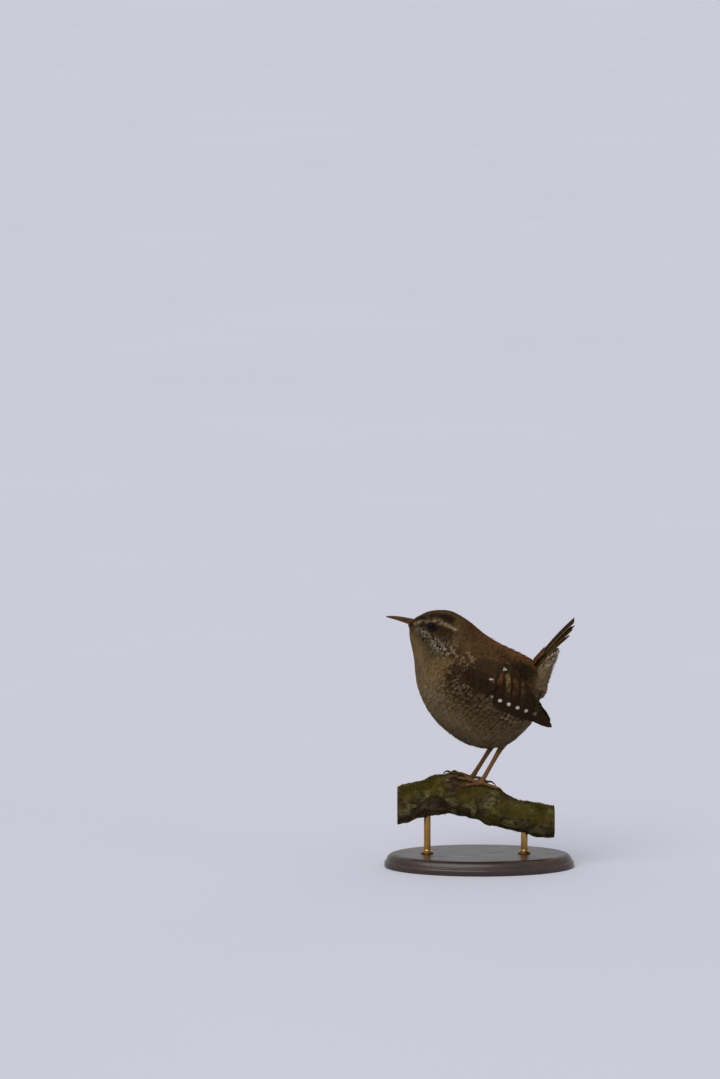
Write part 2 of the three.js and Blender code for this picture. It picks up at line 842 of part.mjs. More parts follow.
// An oval with a moulded edge, from rings drawn in by the edge's section.
function makeBase() {
  const sides = 28;
  const rings = BASE_EDGE.map(([inset, z]) =>
    Array.from({ length: sides }, (_, j) => {
      const turn = (2 * Math.PI * j) / sides;
      const [deep, wide] = [BASE.length / 2 - inset, BASE.width / 2 - inset];
      return V(deep * Math.cos(turn), wide * Math.sin(turn), z);
    }),
  );
  const sockets = union(ROD_X.map((x) => rodSolid(x, SEAM)));
  return largest(loft(rings).subtract(sockets));
}

// The model

function meshOf(name, solid, [colour, roughness]) {
  const { numProp, numVert, vertProperties, triVerts } = solid.getMesh();
  const positions = new Float32Array(numVert * 3);
  for (let i = 0; i < numVert; i++)
    positions.set(
      vertProperties.subarray(i * numProp, i * numProp + 3),
      i * 3,
    );
  const geometry = new THREE.BufferGeometry();
  geometry.setAttribute("position", new THREE.BufferAttribute(positions, 3));
  geometry.setIndex(new THREE.BufferAttribute(triVerts, 1));
  geometry.computeVertexNormals();
  const metalness = name.startsWith("stand_rod") ? 1 : 0;
  const material = new THREE.MeshStandardMaterial({
    color: colour,
    roughness,
    metalness,
  });
  const mesh = new THREE.Mesh(geometry, material);
  mesh.name = name;
  return mesh;
}

const model = new THREE.Group();
const place = (name, solid, look) => model.add(meshOf(name, solid, look));

place("head", makeHead(), COLOURS.crown);
place("bill_upper", makeBillUpper(), COLOURS.bill);
place("bill_lower", makeBillLower(), COLOURS.bill);
place("neck", neckSkin(0), COLOURS.mantle);
place("torso", makeTorso(), COLOURS.breast);
place("tail", makeTail(), COLOURS.tail);
place("uppertail_coverts", makeUppertailCoverts(), COLOURS.mantle);
place("undertail_coverts", makeUndertailCoverts(), COLOURS.coverts);
for (const [name, side] of [
  ["left", LEFT],
  ["right", RIGHT],
]) {
  const leg = LEGS[name];
  place(`eye_${name}`, makeEye(side), COLOURS.eye);
  place(`wing_${name}`, makeWing(side), COLOURS.wing);
  place(`thigh_${name}`, makeThigh(leg), COLOURS.breast);
  place(`shank_${name}`, largest(shank(leg)), COLOURS.leg);
  place(`foot_${name}`, makeFoot(leg), COLOURS.leg);
}
place("perch", makePerch(), COLOURS.moss);
place("stand_base", makeBase(), COLOURS.stand);
place("stand_rod_front", rodSolid(ROD_X[0]), COLOURS.rod);
place("stand_rod_back", rodSolid(ROD_X[1]), COLOURS.rod);

export default model;
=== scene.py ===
"""A life-size Eurasian wren on a cut mossy branch, held by a plain display stand.

Metres, +Z up. The bird faces -X and its left side faces -Y. Lengths in the tables below are in
millimetres, in the same frame, and are turned to metres where a mesh is made.
"""
import math
from types import SimpleNamespace

import bpy
import numpy as np
from bpy.props import FloatProperty, FloatVectorProperty, IntProperty, PointerProperty
from bpy.types import Operator, Panel, PropertyGroup
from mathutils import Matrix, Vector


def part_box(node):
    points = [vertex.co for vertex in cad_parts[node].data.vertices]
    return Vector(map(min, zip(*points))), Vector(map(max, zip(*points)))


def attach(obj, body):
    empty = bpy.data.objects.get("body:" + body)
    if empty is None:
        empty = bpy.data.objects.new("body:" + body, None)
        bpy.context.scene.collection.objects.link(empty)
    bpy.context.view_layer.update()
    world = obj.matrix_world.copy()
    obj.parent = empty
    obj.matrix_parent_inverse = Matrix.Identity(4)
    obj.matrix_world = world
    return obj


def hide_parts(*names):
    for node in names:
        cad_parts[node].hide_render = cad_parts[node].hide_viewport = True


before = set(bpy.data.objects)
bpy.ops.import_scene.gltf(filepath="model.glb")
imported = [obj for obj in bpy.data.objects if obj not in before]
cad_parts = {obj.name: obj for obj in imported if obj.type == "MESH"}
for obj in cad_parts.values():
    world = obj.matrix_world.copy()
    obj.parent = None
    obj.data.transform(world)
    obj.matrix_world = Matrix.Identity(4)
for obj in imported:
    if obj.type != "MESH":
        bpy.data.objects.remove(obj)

bl_info = {
    "name": "Wren on a Perch",
    "version": (1, 0, 0),
    "blender": (4, 5, 0),
    "location": "3D View > Sidebar > Wren",
    "description": "Life-size Eurasian wren on a mossy branch with a display stand",
    "category": "Object",
}

MM = 0.001
# The number whose cube is itself plus 1: its powers spread places evenly
PLASTIC = 1.32471795724
LEFT = -1
RIGHT = 1
SIDES = {"left": LEFT, "right": RIGHT}

# Ribs of the body from the face to the vent: top x, top z, under x, under z, half width
RIBS = np.array([
    [-30.6, 109.9, -31.2, 106.9, 1.9],
    [-29.6, 110.5, -31.1, 105.4, 3.5],
    [-26.4, 112.3, -31.0, 102.9, 5.0],
    [-22.7, 114.0, -30.4, 99.7, 6.9],
    [-18.0, 114.7, -29.6, 96.1, 8.0],
    [-12.8, 114.3, -28.9, 91.8, 9.2],
    [-7.5, 111.7, -28.5, 86.7, 10.9],
    [-2.6, 108.2, -27.5, 80.5, 13.2],
    [2.6, 103.8, -24.9, 73.9, 15.2],
    [8.4, 100.1, -20.4, 67.1, 16.4],
    [13.6, 97.5, -13.6, 60.3, 16.8],
    [18.4, 95.2, -5.0, 55.1, 16.2],
    [21.9, 93.4, 4.2, 53.3, 14.7],
    [24.3, 91.4, 12.0, 55.0, 12.6],
    [26.5, 89.0, 18.4, 59.8, 10.0],
    [28.2, 85.6, 23.3, 65.6, 6.8],
    [28.8, 82.0, 25.9, 75.4, 3.2],
])
LAST_RIB = len(RIBS) - 1
# Power of a rib's superellipse, how much wider it is low down, and how far the two ends stand out
OVAL = 2.12
PEAR = 0.07
FACE_CAP = 0.9
VENT_CAP = 1.8

# The eye's place and radius, and how far it stands proud of the face
EYE = {"x": -21.3, "z": 108.4, "radius": 2.1, "proud": 0.9}

# Root and tip of the mouth's line as x, z, depth and width of the bill, and the nostril
BILL_ROOT = (-28.2, 108.6)
BILL_TIP = (-41.4, 112.1)
BILL_DEPTH = 2.3
BILL_WIDTH = 3.3
NOSTRIL = (-32.5, 1.45, 110.2)

# The folded wing's wrist and tip as x, z, and the tip's distance from the middle
WING_WRIST = (-12.6, 91.0)
WING_TIP = (31.7, 63.8)
WING_TIP_OUT = 8.6

# Rows of feathers on the folded wing from its lower edge up, in the wing's own u, v:
# u runs from the wrist to the tip, v up across the wing. Lift is the height over the flank.
WING_ROWS = {
    "primary": dict(
        count=10, roots=[(10, -4.2), (12, -2), (14, 0)], width=(3.1, 3.8), lift=(0.35, 0.95), lean=0.5,
        bow=0.9,
        tips=[(31, -3.8), (40, -2.6), (46.5, -1.4), (50.5, -0.7), (51.9, 0.1), (50.9, 0.9), (49.0, 1.9)]),
    "secondary": dict(
        count=7, roots=[(13, 1), (15, 6)], width=(3.5, 3.9), lift=(1.0, 1.4), lean=0.5, bow=0.2,
        tips=[(46.4, 3.0), (44.2, 4.3), (41.4, 5.8), (38.2, 7.4), (34.6, 8.8)]),
    "tertial": dict(
        count=3, roots=[(13, 7), (15, 10)], width=(4.6, 4.4), lift=(1.5, 1.85), lean=0.5, bow=0.6,
        tips=[(35.8, 8.4), (31.8, 10), (27.6, 11.6)]),
    "primary_covert": dict(
        count=6, roots=[(5, -4.6), (9, -1.6)], width=(2.3, 2.6), lift=(1.15, 1.5), lean=0.35, bow=-0.4,
        tips=[(17.5, -4.8), (19, -3.6), (20, -2.2), (20.6, -1.2)]),
    "greater_covert": dict(
        count=8, roots=[(7, -1), (10, 2), (11, 8)], width=(3.0, 3.6), lift=(1.5, 2.1), lean=0.4, bow=-0.3,
        tips=[(19.2, -1.4), (20.8, 2), (22.0, 5), (23.2, 10)]),
    "median_covert": dict(
        count=9, roots=[(3, -3), (5, 3), (8, 8.5)], width=(2.6, 3.2), lift=(1.75, 2.35), lean=0.35, bow=0.0,
        tips=[(12.8, -4.2), (16, 0.5), (18.1, 4.9), (19.6, 8), (21.2, 11)]),
    "alula": dict(
        count=3, roots=[(3, -4.2), (4, -3)], width=(2.2, 2.4), lift=(1.75, 1.95), lean=0.3, bow=-0.3,
        tips=[(12.2, -5.0), (14.6, -4.1), (16.2, -3.0)]),
}
# How far these heights are lowered, and the outline of the folded wing as u, v
WING_DROP = 0.45
WING_LOWER = [(-1, 1), (0, -2), (4, -5), (31, -5), (41, -3.6), (52, 0)]
WING_UPPER = [(-1, 4), (2, 8.5), (8, 11), (26, 13), (36, 9.9), (45, 5.2), (52, 1)]

# The tail's root as x, z, its angles at root and tip in degrees, and how it falls to the sides
TAIL_ROOT = (24.3, 91.0)
TAIL_ANGLE = (56, 42)
TAIL_DROOP = 0.03
# Lengths of the pairs of tail feathers from the middle out, their fan in degrees, how far each lies
# under the one before and hangs at its tip, and the strength of its pale edge
RECTRICES = (26.6, 26.4, 25.9, 24.9, 23.2, 20.4)
FAN_FIRST = 0.8
FAN_STEP = 1.5
TAIL_STEP = 0.28
TAIL_HANG = [0.0, 0.25, 0.5, 1.6, 1.9, 2.7]
PALE_EDGES = [0.0, 0.1, 0.6, 0.1, 0.5, 0.7]

# The core under the tail: x, z of its middle line, half depth and half width
VENT_LINE = np.array([
    [22.0, 81.5, 4.2, 7.0],
    [26.0, 84, 3.5, 6.0],
    [29.3, 89, 2.3, 4.5],
    [32.1, 93.6, 1.3, 2.9],
    [34.2, 97.2, 0.4, 0.8],
])

# The branch: x and z of its middle line, and its radius
PERCH_LINE = np.array([
    [-36, 27.4, 8.3],
    [-26.4, 29.9, 8.4],
    [-19.1, 32.0, 8.5],
    [-13.5, 32.6, 8.9],
    [-7.3, 31.5, 8.8],
    [-1.5, 29.9, 8.9],
    [3.5, 28.2, 8.9],
    [8.6, 26.6, 8.8],
    [12.4, 24.4, 7.7],
    [17, 22.8, 7.2],
    [24, 21.2, 7.3],
    [33, 20.2, 7.4],
])

# Each foot's place along the branch and round it, and its ankle
LEGS = {
    "right": dict(side=RIGHT, foot=-2.9, arc=3.3, ankle=(6.4, 3.7, 54.6)),
    "left": dict(side=LEFT, foot=0.7, arc=-3.9, ankle=(10, -4.1, 54.9)),
}
# The branch's usual radius, by which lengths round it become angles
PERCH_GIRTH = 8.5
FOOT_HEIGHT = 1.45
TOE_RADIUS = 0.68
# Turn of each toe from straight ahead in degrees, lengths of toe and claw, and number of pads
TOES = [
    dict(turn=3, length=10.2, claw=4.2, pads=4),
    dict(turn=28, length=7.9, claw=3.6, pads=4),
    dict(turn=-14, length=7.4, claw=3.4, pads=3),
    dict(turn=178, length=7.0, claw=4.8, pads=2),
]


# Values that a user would change

class WrenCoat(PropertyGroup):
    """Sizes of the plumage."""
    depth: FloatProperty(name="Coat depth", description="Depth of the body feathers over the skin",
                         default=1.0 * MM, min=0.2 * MM, max=3 * MM, unit="LENGTH", precision=5)
    count: IntProperty(name="Body feathers", description="Number of small feathers on head and body",
                       default=25000, min=500, max=60000)
    size: FloatProperty(name="Feather size", description="Length of a body feather against its usual one",
                        default=1.0, min=0.5, max=2.0, subtype="FACTOR")
    vane: FloatProperty(name="Vane thickness", description="Thickness of a flight feather at its shaft",
                        default=0.22 * MM, min=0.05 * MM, max=1 * MM, unit="LENGTH", precision=5)
    bar_spacing: FloatProperty(name="Bar spacing", description="Distance between bars on wing and tail",
                               default=3.9 * MM, min=1 * MM, max=10 * MM, unit="LENGTH", precision=5)
    dot_spacing: FloatProperty(name="Dot spacing", description="Distance between the pale dots of the wing",
                               default=4.2 * MM, min=1 * MM, max=10 * MM, unit="LENGTH", precision=5)


def colour(name, text, value):
    """A display colour that a user may change."""
    return FloatVectorProperty(name=name, description=text, default=value, size=3, min=0, max=1,
                               subtype="COLOR_GAMMA")


class WrenColours(PropertyGroup):
    """Colours of the plumage, horn, bark and stand."""
    rufous: colour("Rufous", "Back, rump and tail", (0.38, 0.22, 0.115))
    buff: colour("Buff", "Breast and throat", (0.475, 0.395, 0.247))
    umber: colour("Umber", "Crown, wing and dark bars", (0.145, 0.10, 0.05))
    cream: colour("Cream", "Brow stripe, flecks and pale bars", (0.62, 0.55, 0.44))
    spot: colour("Spot", "White dots of the wing and vent", (0.86, 0.84, 0.78))
    horn: colour("Horn", "Upper bill and claws", (0.24, 0.145, 0.085))
    horn_pale: colour("Pale horn", "Lower bill and gape", (0.46, 0.27, 0.12))
    eye: colour("Eye", "Iris, nearly black", (0.06, 0.03, 0.02))
    leg: colour("Leg", "Shanks and toes", (0.46, 0.30, 0.13))
    moss: colour("Moss", "Green on the branch", (0.25, 0.22, 0.035))
    bark: colour("Bark", "Grey-brown bark", (0.31, 0.26, 0.18))
    lichen: colour("Lichen", "Pale crust on the bark", (0.37, 0.345, 0.205))
    wood: colour("Wood", "Stained wood of the base", (0.16, 0.11, 0.08))
    brass: colour("Brass", "Rods of the stand", (0.66, 0.52, 0.30))
    floor: colour("Floor", "Studio floor", (0.82, 0.82, 0.86))


class WrenStage(PropertyGroup):
    """Camera and light."""
    distance: FloatProperty(name="Distance", description="Camera to the middle of the picture",
                            default=2.64, min=0.5, max=10, unit="LENGTH")
    elevation: FloatProperty(name="Elevation", description="How far the camera looks down",
                             default=math.radians(7), min=0, max=1.5, subtype="ANGLE")
    target: FloatVectorProperty(name="Target", description="Middle of the picture",
                                default=(-52.8 * MM, 0, 146 * MM), size=3, subtype="TRANSLATION")
    lens: FloatProperty(name="Lens", description="Focal length in millimetres", default=200, min=20, max=800)
    key: FloatProperty(name="Key light", description="Strength of the light from above",
                       default=1.5, min=0, max=20)
    softness: FloatProperty(name="Softness", description="How wide the light from above looks",
                            default=math.radians(50), min=0, max=3, subtype="ANGLE")
    sky: FloatProperty(name="Sky", description="Strength of the even light all round",
                       default=0.6, min=0, max=10)


class WrenStand(PropertyGroup):
    """Sizes of the display stand, taken from the frame."""
    base_length: FloatProperty(name="Base length", description="Length of the oval base", unit="LENGTH",
                               default=(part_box("stand_base")[1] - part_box("stand_base")[0]).x)
    base_width: FloatProperty(name="Base width", description="Width of the oval base", unit="LENGTH",
                              default=(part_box("stand_base")[1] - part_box("stand_base")[0]).y)
    base_height: FloatProperty(name="Base height", description="Thickness of the base", unit="LENGTH",
                               default=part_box("stand_base")[1].z)


# Curves and surfaces

def catmull(points, t):
    """Smooth curve through the points, t from 0 to 1 over all of it.

    Each span is a cubic whose slopes come from its neighbours, weighed by the square roots of the
    distances between the points.
    """
    p = np.asarray(points, float)
    ends = np.vstack([2 * p[:1] - p[1:2], p, 2 * p[-1:] - p[-2:-1]])
    place = np.clip(t, 0, 1) * (len(p) - 1)
    i = np.minimum(place.astype(int), len(p) - 2)
    w = (place - i)[..., None]
    a, b, c, d = (ends[i + k] for k in range(4))
    gaps = [np.maximum(np.sum((r - q) ** 2, -1, keepdims=True) ** 0.25, 1e-6)
            for q, r in ((a, b), (b, c), (c, d))]
    first = ((b - a) / gaps[0] - (c - a) / (gaps[0] + gaps[1]) + (c - b) / gaps[1]) * gaps[1]
    second = ((c - b) / gaps[1] - (d - b) / (gaps[1] + gaps[2]) + (d - c) / gaps[2]) * gaps[1]
    square = 3 * (c - b) - 2 * first - second
    cube = 2 * (b - c) + first + second
    return b + first * w + square * w ** 2 + cube * w ** 3


def smooth(value, low, high):
    """0 below low, 1 above high, eased between them."""
    t = np.clip((value - low) / (high - low), 0, 1)
    return t * t * (3 - 2 * t)


def read_line(x, line):
    """A value at x, read straight between the pairs x, value of a line."""
    return np.interp(x, *np.array(line, float).T)


def full_turn(count):
    """Even angles all the way round."""
    return np.arange(count) * 2 * np.pi / count


def even_pairs(count):
    """Pairs from 0 to 1 that fill the square evenly: the counting numbers over two powers of PLASTIC."""
    k = np.arange(1, count + 1)
    return np.mod(k / PLASTIC, 1), np.mod(k / PLASTIC ** 2, 1)


def unit(vectors):
    """The same directions at length 1."""
    return vectors / np.maximum(np.linalg.norm(vectors, axis=-1, keepdims=True), 1e-12)


def noise(points, scale, seed=0):
    """Value noise from -1 to 1: random numbers at the corners of unit cells, eased between them."""
    p = np.asarray(points, float) * scale
    cell = np.floor(p).astype(np.int64)
    ease = p - cell
    ease = ease * ease * (3 - 2 * ease)
    total = np.zeros(p.shape[:-1])
    for corner in np.ndindex(2, 2, 2):
        c = cell + np.array(corner)
        mixed = (c[..., 0] * 73856093) ^ (c[..., 1] * 19349663) ^ (c[..., 2] * 83492791) ^ (seed * 40503)
        mixed = ((mixed & 0xFFFFFF) * 1103515 + 12345) & 0xFFFFFF
        mixed = ((mixed ^ (mixed >> 11)) * 69069 + 1) & 0xFFFFFF
        share = np.prod(np.where(corner, ease, 1 - ease), axis=-1)
        total += share * (mixed / 0x7FFFFF - 1)
    return total


def rib_at(s):
    """Middle, upward direction, half height and half width of the ribs numbered s."""
    t = np.asarray(s, float) / LAST_RIB
    top = catmull(np.column_stack([RIBS[:, 0], RIBS[:, 4], RIBS[:, 1]]), t)
    under = catmull(np.column_stack([RIBS[:, 2], np.zeros(len(RIBS)), RIBS[:, 3]]), t)
    half = top[..., 1].copy()
    top[..., 1] = 0
    up = (top - under) / 2
    reach = np.linalg.norm(up, axis=-1)
    return (top + under) / 2, up / reach[..., None], reach, half


def body_shape(s, turn):
    """Outer form of head and body in millimetres.

    Each rib is a superellipse of power OVAL in its own leaning plane, a little wider low down.
    Before rib 0 and past the last one it shrinks as a circle does and moves on, which closes it.
    """
    past = np.where(s < 0, s, np.maximum(s - LAST_RIB, 0))
    middle, up, reach, half = rib_at(np.clip(s, 0, LAST_RIB))
    shrink = np.sqrt(np.maximum(1 - past ** 2, 0))
    push = past * np.where(past < 0, FACE_CAP, VENT_CAP)
    ahead = np.stack([up[..., 2], np.zeros_like(reach), -up[..., 0]], -1)
    c, w = np.cos(turn), np.sin(turn)
    high = np.sign(c) * np.abs(c) ** (2 / OVAL)
    wide = np.sign(w) * np.abs(w) ** (2 / OVAL) * (1 - PEAR * high)
    place = middle + ahead * push[..., None] + up * (reach * shrink * high)[..., None]
    place[..., 1] += half * shrink * wide
    return place


def flank_table(step=0.3):
    """Half width of the body over x, z on a grid, by halving the range of ribs until it is found."""
    x = np.arange(-34, 46, step)
    z = np.arange(48, 120, step)
    gx, gz = np.meshgrid(x, z, indexing="ij")
    low = np.full(gx.shape, 3.0)
    high = np.full(gx.shape, float(LAST_RIB))

    def miss(s):
        middle, up, _, _ = rib_at(s)
        return (gx - middle[..., 0]) * up[..., 2] - (gz - middle[..., 2]) * up[..., 0]

    outside = (miss(low) < 0) | (miss(high) > 0)
    for _ in range(24):
        s = (low + high) / 2
        behind = miss(s) > 0
        low = np.where(behind, s, low)
        high = np.where(behind, high, s)
    middle, up, reach, half = rib_at(low)
    c = ((gx - middle[..., 0]) * up[..., 0] + (gz - middle[..., 2]) * up[..., 2]) / reach
    inside = np.abs(c) < 1
    span = 1 - np.abs(np.clip(c, -1, 1)) ** OVAL
    width = half * (1 - PEAR * c) * span ** (1 / OVAL)
    return x, z, np.where(inside & ~outside, width, 0)


FLANK_X, FLANK_Z, FLANK = flank_table()


def half_width(x, z):
    """Half width of the body at x, z, read between the grid's points."""
    i = np.clip((x - FLANK_X[0]) / (FLANK_X[1] - FLANK_X[0]), 0, len(FLANK_X) - 1.001)
    j = np.clip((z - FLANK_Z[0]) / (FLANK_Z[1] - FLANK_Z[0]), 0, len(FLANK_Z) - 1.001)
    a, b = i.astype(int), j.astype(int)
    u, v = i - a, j - b
    near = FLANK[a, b] * (1 - v) + FLANK[a, b + 1] * v
    far = FLANK[a + 1, b] * (1 - v) + FLANK[a + 1, b + 1] * v
    return near * (1 - u) + far * u


class Surface:
    """A closed surface sampled over s, along the lie of the coat, and turn, once round it."""

    def __init__(self, shape, first, last, rows=260, cols=192):
        self.first, self.last = first, last
        self.rows, self.cols = rows, cols
        s = np.linspace(first, last, rows)
        turn = full_turn(cols)
        self.points = shape(*np.meshgrid(s, turn, indexing="ij"))
        along = np.gradient(self.points, s, axis=0)
        across = (np.roll(self.points, -1, 1) - np.roll(self.points, 1, 1)) * cols / (4 * np.pi)
        normal = unit(np.cross(across, along))
        middle = self.points.mean(axis=1, keepdims=True)
        if np.sum(normal * (self.points - middle)) < 0:
            normal = -normal
        self.along, self.across, self.normal = along, across, normal
        step = np.linalg.norm(along, axis=-1) * (s[1] - s[0])
        self.run = np.cumsum(step, axis=0)
        self.area = np.linalg.norm(np.cross(along, across), axis=-1)

    def read(self, table, s, turn):
        """A table's value at s and turn, straight between its four nearest samples."""
        i = np.clip((s - self.first) / (self.last - self.first) * (self.rows - 1), 0, self.rows - 1.001)
        j = np.mod(turn / (2 * np.pi), 1) * self.cols
        a, b = i.astype(int), j.astype(int) % self.cols
        u, v = i - a, j - np.floor(j)
        c = (b + 1) % self.cols
        if table.ndim == 3:
            u, v = u[..., None], v[..., None]
        near = table[a, b] * (1 - v) + table[a, c] * v
        far = table[a + 1, b] * (1 - v) + table[a + 1, c] * v
        return near * (1 - u) + far * u

    def at(self, s, turn, height):
        """Points over the surface. Past its ends they run on straight."""
        place = self.read(self.points, s, turn)
        over = s - np.clip(s, self.first, self.last)
        place = place + self.read(self.along, s, turn) * over[..., None] * 0.3
        return place + self.read(self.normal, s, turn) * np.asarray(height)[..., None]

    def scatter(self, count, weight):
        """Evenly spread places s, turn, denser where the weight is larger.

        Even pairs fill the unit square, and the running sums of area times weight carry them to the
        surface.
        """
        s = np.linspace(self.first, self.last, self.rows)
        turn = np.linspace(0, 2 * np.pi, self.cols + 1)
        grid_s, grid_turn = np.meshgrid(s, turn, indexing="ij")
        share = np.concatenate([self.area, self.area[:, :1]], 1) * weight(grid_s, grid_turn) + 1e-9
        p, q = even_pairs(count)
        by_row = np.cumsum(share.sum(1))
        row = np.interp(p * by_row[-1], by_row, np.arange(self.rows))
        low = np.clip(row.astype(int), 0, self.rows - 1)
        by_turn = np.cumsum(share, axis=1)
        by_turn = (by_turn - by_turn[:, :1]) / (by_turn[:, -1:] - by_turn[:, :1])
        flat = (by_turn + np.arange(self.rows)[:, None] * 1.0001).ravel()
        found = np.interp(low * 1.0001 + q, flat, np.tile(turn, self.rows))
        return self.first + (self.last - self.first) * row / (self.rows - 1), np.mod(found, 2 * np.pi)


def wing_place(side):
    """u along, v up across and h out from the folded wing, to points in millimetres.

    The sheet is the flank, blended with a flat sheet at the wing tips' distance by a sixth power mean.
    """
    span = np.array(WING_TIP) - WING_WRIST
    along = span / np.linalg.norm(span)

    def out(x, z):
        return (half_width(x, z) ** 6 + WING_TIP_OUT ** 6) ** (1 / 6)

    def at(u, v, h):
        x = WING_WRIST[0] + u * along[0] - v * along[1]
        z = WING_WRIST[1] + u * along[1] + v * along[0]
        y = out(x, z)
        step = 0.5
        slope_x = (out(x + step, z) - out(x - step, z)) / (2 * step)
        slope_z = (out(x, z + step) - out(x, z - step)) / (2 * step)
        normal = unit(np.stack([-slope_x, np.ones_like(x), -slope_z], -1))
        place = np.stack([x, y, z], -1) + normal * np.asarray(h)[..., None]
        place[..., 1] *= side
        return place

    return at


def tail_place(p, q, h):
    """p along the cocked tail, q across it, h up from its upper face, to points in millimetres."""
    start, end = np.radians(TAIL_ANGLE)
    bend = (start - end) / RECTRICES[0]
    angle = start - bend * p
    rise = h - TAIL_DROOP * q ** 2
    x = TAIL_ROOT[0] + (np.sin(start) - np.sin(angle)) / bend - np.sin(angle) * rise
    z = TAIL_ROOT[1] + (np.cos(angle) - np.cos(start)) / bend + np.cos(angle) * rise
    return np.stack([x, q + 0 * p, z], -1)


def vent_shape(s, turn):
    """The core under the tail: ovals along its middle line, closed at the far end."""
    t = np.clip(s, 0, 1)
    row = catmull(VENT_LINE, t)
    before = catmull(VENT_LINE, np.clip(t - 0.02, 0, 1))
    after = catmull(VENT_LINE, np.clip(t + 0.02, 0, 1))
    along = unit((after - before)[..., :2])
    depth = row[..., 2] * np.cos(turn)
    width = row[..., 3] * np.sin(turn)
    return np.stack([row[..., 0] + along[..., 1] * depth, width, row[..., 1] - along[..., 0] * depth], -1)


def perch_radius(x, turn):
    """The branch's middle height and outer radius at x: knobs and hollows as sums of sines."""
    first, last = PERCH_LINE[0, 0], PERCH_LINE[-1, 0]
    t = np.linspace(0, 1, 400)
    line = catmull(PERCH_LINE[:, [0, 2, 1]], t)
    x = np.clip(x, first, last)
    radius = np.interp(x, line[:, 0], line[:, 1])
    z = np.interp(x, line[:, 0], line[:, 2])
    swell = (0.022 * np.sin(0.55 * x + 2 * np.sin(turn)) + 0.02 * np.sin(0.31 * x + 2 * turn)
             + 0.014 * np.sin(0.9 * x + 3 * turn + 1))
    return z, radius * (1 + swell)


def perch_place(x, turn, h):
    """A point on the branch at x, turned from its top and raised by h, in millimetres."""
    z, radius = perch_radius(x, turn)
    out = radius + h
    return np.stack([x + 0 * turn, out * np.sin(turn), z + out * np.cos(turn)], -1)


# Meshes

class Batch:
    """Points, faces and attributes of many small forms that become one mesh."""

    def __init__(self):
        self.points, self.faces, self.count = [], [], 0
        self.values = {}

    def add(self, points, faces, **values):
        """Adds forms. Points are (n, 3) in millimetres, and each value is one row for a point."""
        self.points.append(points)
        self.faces.append(faces + self.count)
        self.count += len(points)
        for name, value in values.items():
            self.values.setdefault(name, []).append(value)

    def piece(self, name, look, slot, **options):
        """Makes all that was added one piece of the wren."""
        values = {key: np.concatenate(rows) for key, rows in self.values.items()}
        points, faces = np.concatenate(self.points), np.concatenate(self.faces)
        make_piece(name, points, faces, look, slot, values, **options)


def outward(points, faces):
    """The faces of closed forms, turned so that their signed volume is positive."""
    a, b, c = (points[faces[:, k]] for k in (0, 1, 2))
    volume = np.einsum("ij,ij->", a - a.mean(0), np.cross(b - a.mean(0), c - a.mean(0)))
    if faces.shape[1] == 4:
        d = points[faces[:, 3]]
        volume += np.einsum("ij,ij->", a - a.mean(0), np.cross(c - a.mean(0), d - a.mean(0)))
    return faces if volume > 0 else faces[:, ::-1]


def grid_faces(rows, cols, wrap=True):
    """Four-sided faces of a grid of points, closed round its columns if wrap is set."""
    i, j = np.meshgrid(np.arange(rows - 1), np.arange(cols if wrap else cols - 1), indexing="ij")
    a = i * cols + j
    b = i * cols + (j + 1) % cols
    return np.stack([a, b, b + cols, a + cols], -1).reshape(-1, 4)


ATTRIBUTE_KINDS = {1: "FLOAT", 3: "FLOAT_VECTOR", 4: "FLOAT_COLOR"}
ATTRIBUTE_FIELDS = {1: "value", 3: "vector", 4: "color"}


def make_piece(name, points, faces, look, slot, values=None, crease=60, replaces=()):
    """Makes a mesh piece of the wren in metres, riding on the root body.

    look is its material; slot, the record's slot, is not used. values holds attributes for each point: one,
    three or four numbers, or OFBake, two numbers that become its UV map.
    """
    values = values or {}
    faces = outward(points, faces)
    mesh = bpy.data.meshes.new(name)
    mesh.vertices.add(len(points))
    mesh.vertices.foreach_set("co", (points * MM).astype(np.float32).ravel())
    mesh.loops.add(faces.size)
    mesh.loops.foreach_set("vertex_index", faces.astype(np.int32).ravel())
    mesh.polygons.add(len(faces))
    mesh.polygons.foreach_set("loop_start", np.arange(0, faces.size, faces.shape[1], dtype=np.int32))
    mesh.update(calc_edges=True)
    if mesh.validate():
        raise RuntimeError(f"{name} has broken faces")
    mesh.shade_smooth()
    mesh.set_sharp_from_angle(angle=math.radians(crease))
    unwrap = values.pop("OFBake", None)
    if unwrap is not None:
        layer = mesh.uv_layers.new(name="OFBake")
        layer.uv.foreach_set("vector", unwrap[faces.ravel()].astype(np.float32).ravel())
    for key, rows in values.items():
        size = 1 if rows.ndim == 1 else rows.shape[1]
        attribute = mesh.attributes.new(key, ATTRIBUTE_KINDS[size], "POINT")
        attribute.data.foreach_set(ATTRIBUTE_FIELDS[size], rows.astype(np.float32).ravel())
    piece = bpy.data.objects.new(name, mesh)
    bpy.context.scene.collection.objects.link(piece)
    mesh.materials.append(finish(look))
    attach(piece, "root")
    if replaces:
        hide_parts(*replaces)


def closed_loft(rings):
    """Rings of points (n, m, 3), closed at both ends to their middles, as points and triangles."""
    n, m, _ = rings.shape
    points = np.concatenate([rings.reshape(-1, 3), rings[0].mean(0)[None], rings[-1].mean(0)[None]])
    quads = grid_faces(n, m)
    j = np.arange(m)
    k = (j + 1) % m
    first = np.stack([k, j, np.full(m, n * m)], -1)
    last = np.stack([(n - 1) * m + j, (n - 1) * m + k, np.full(m, n * m + 1)], -1)
    sides = np.concatenate([quads[:, [0, 1, 2]], quads[:, [0, 2, 3]]])
    return points, np.concatenate([sides, first, last])


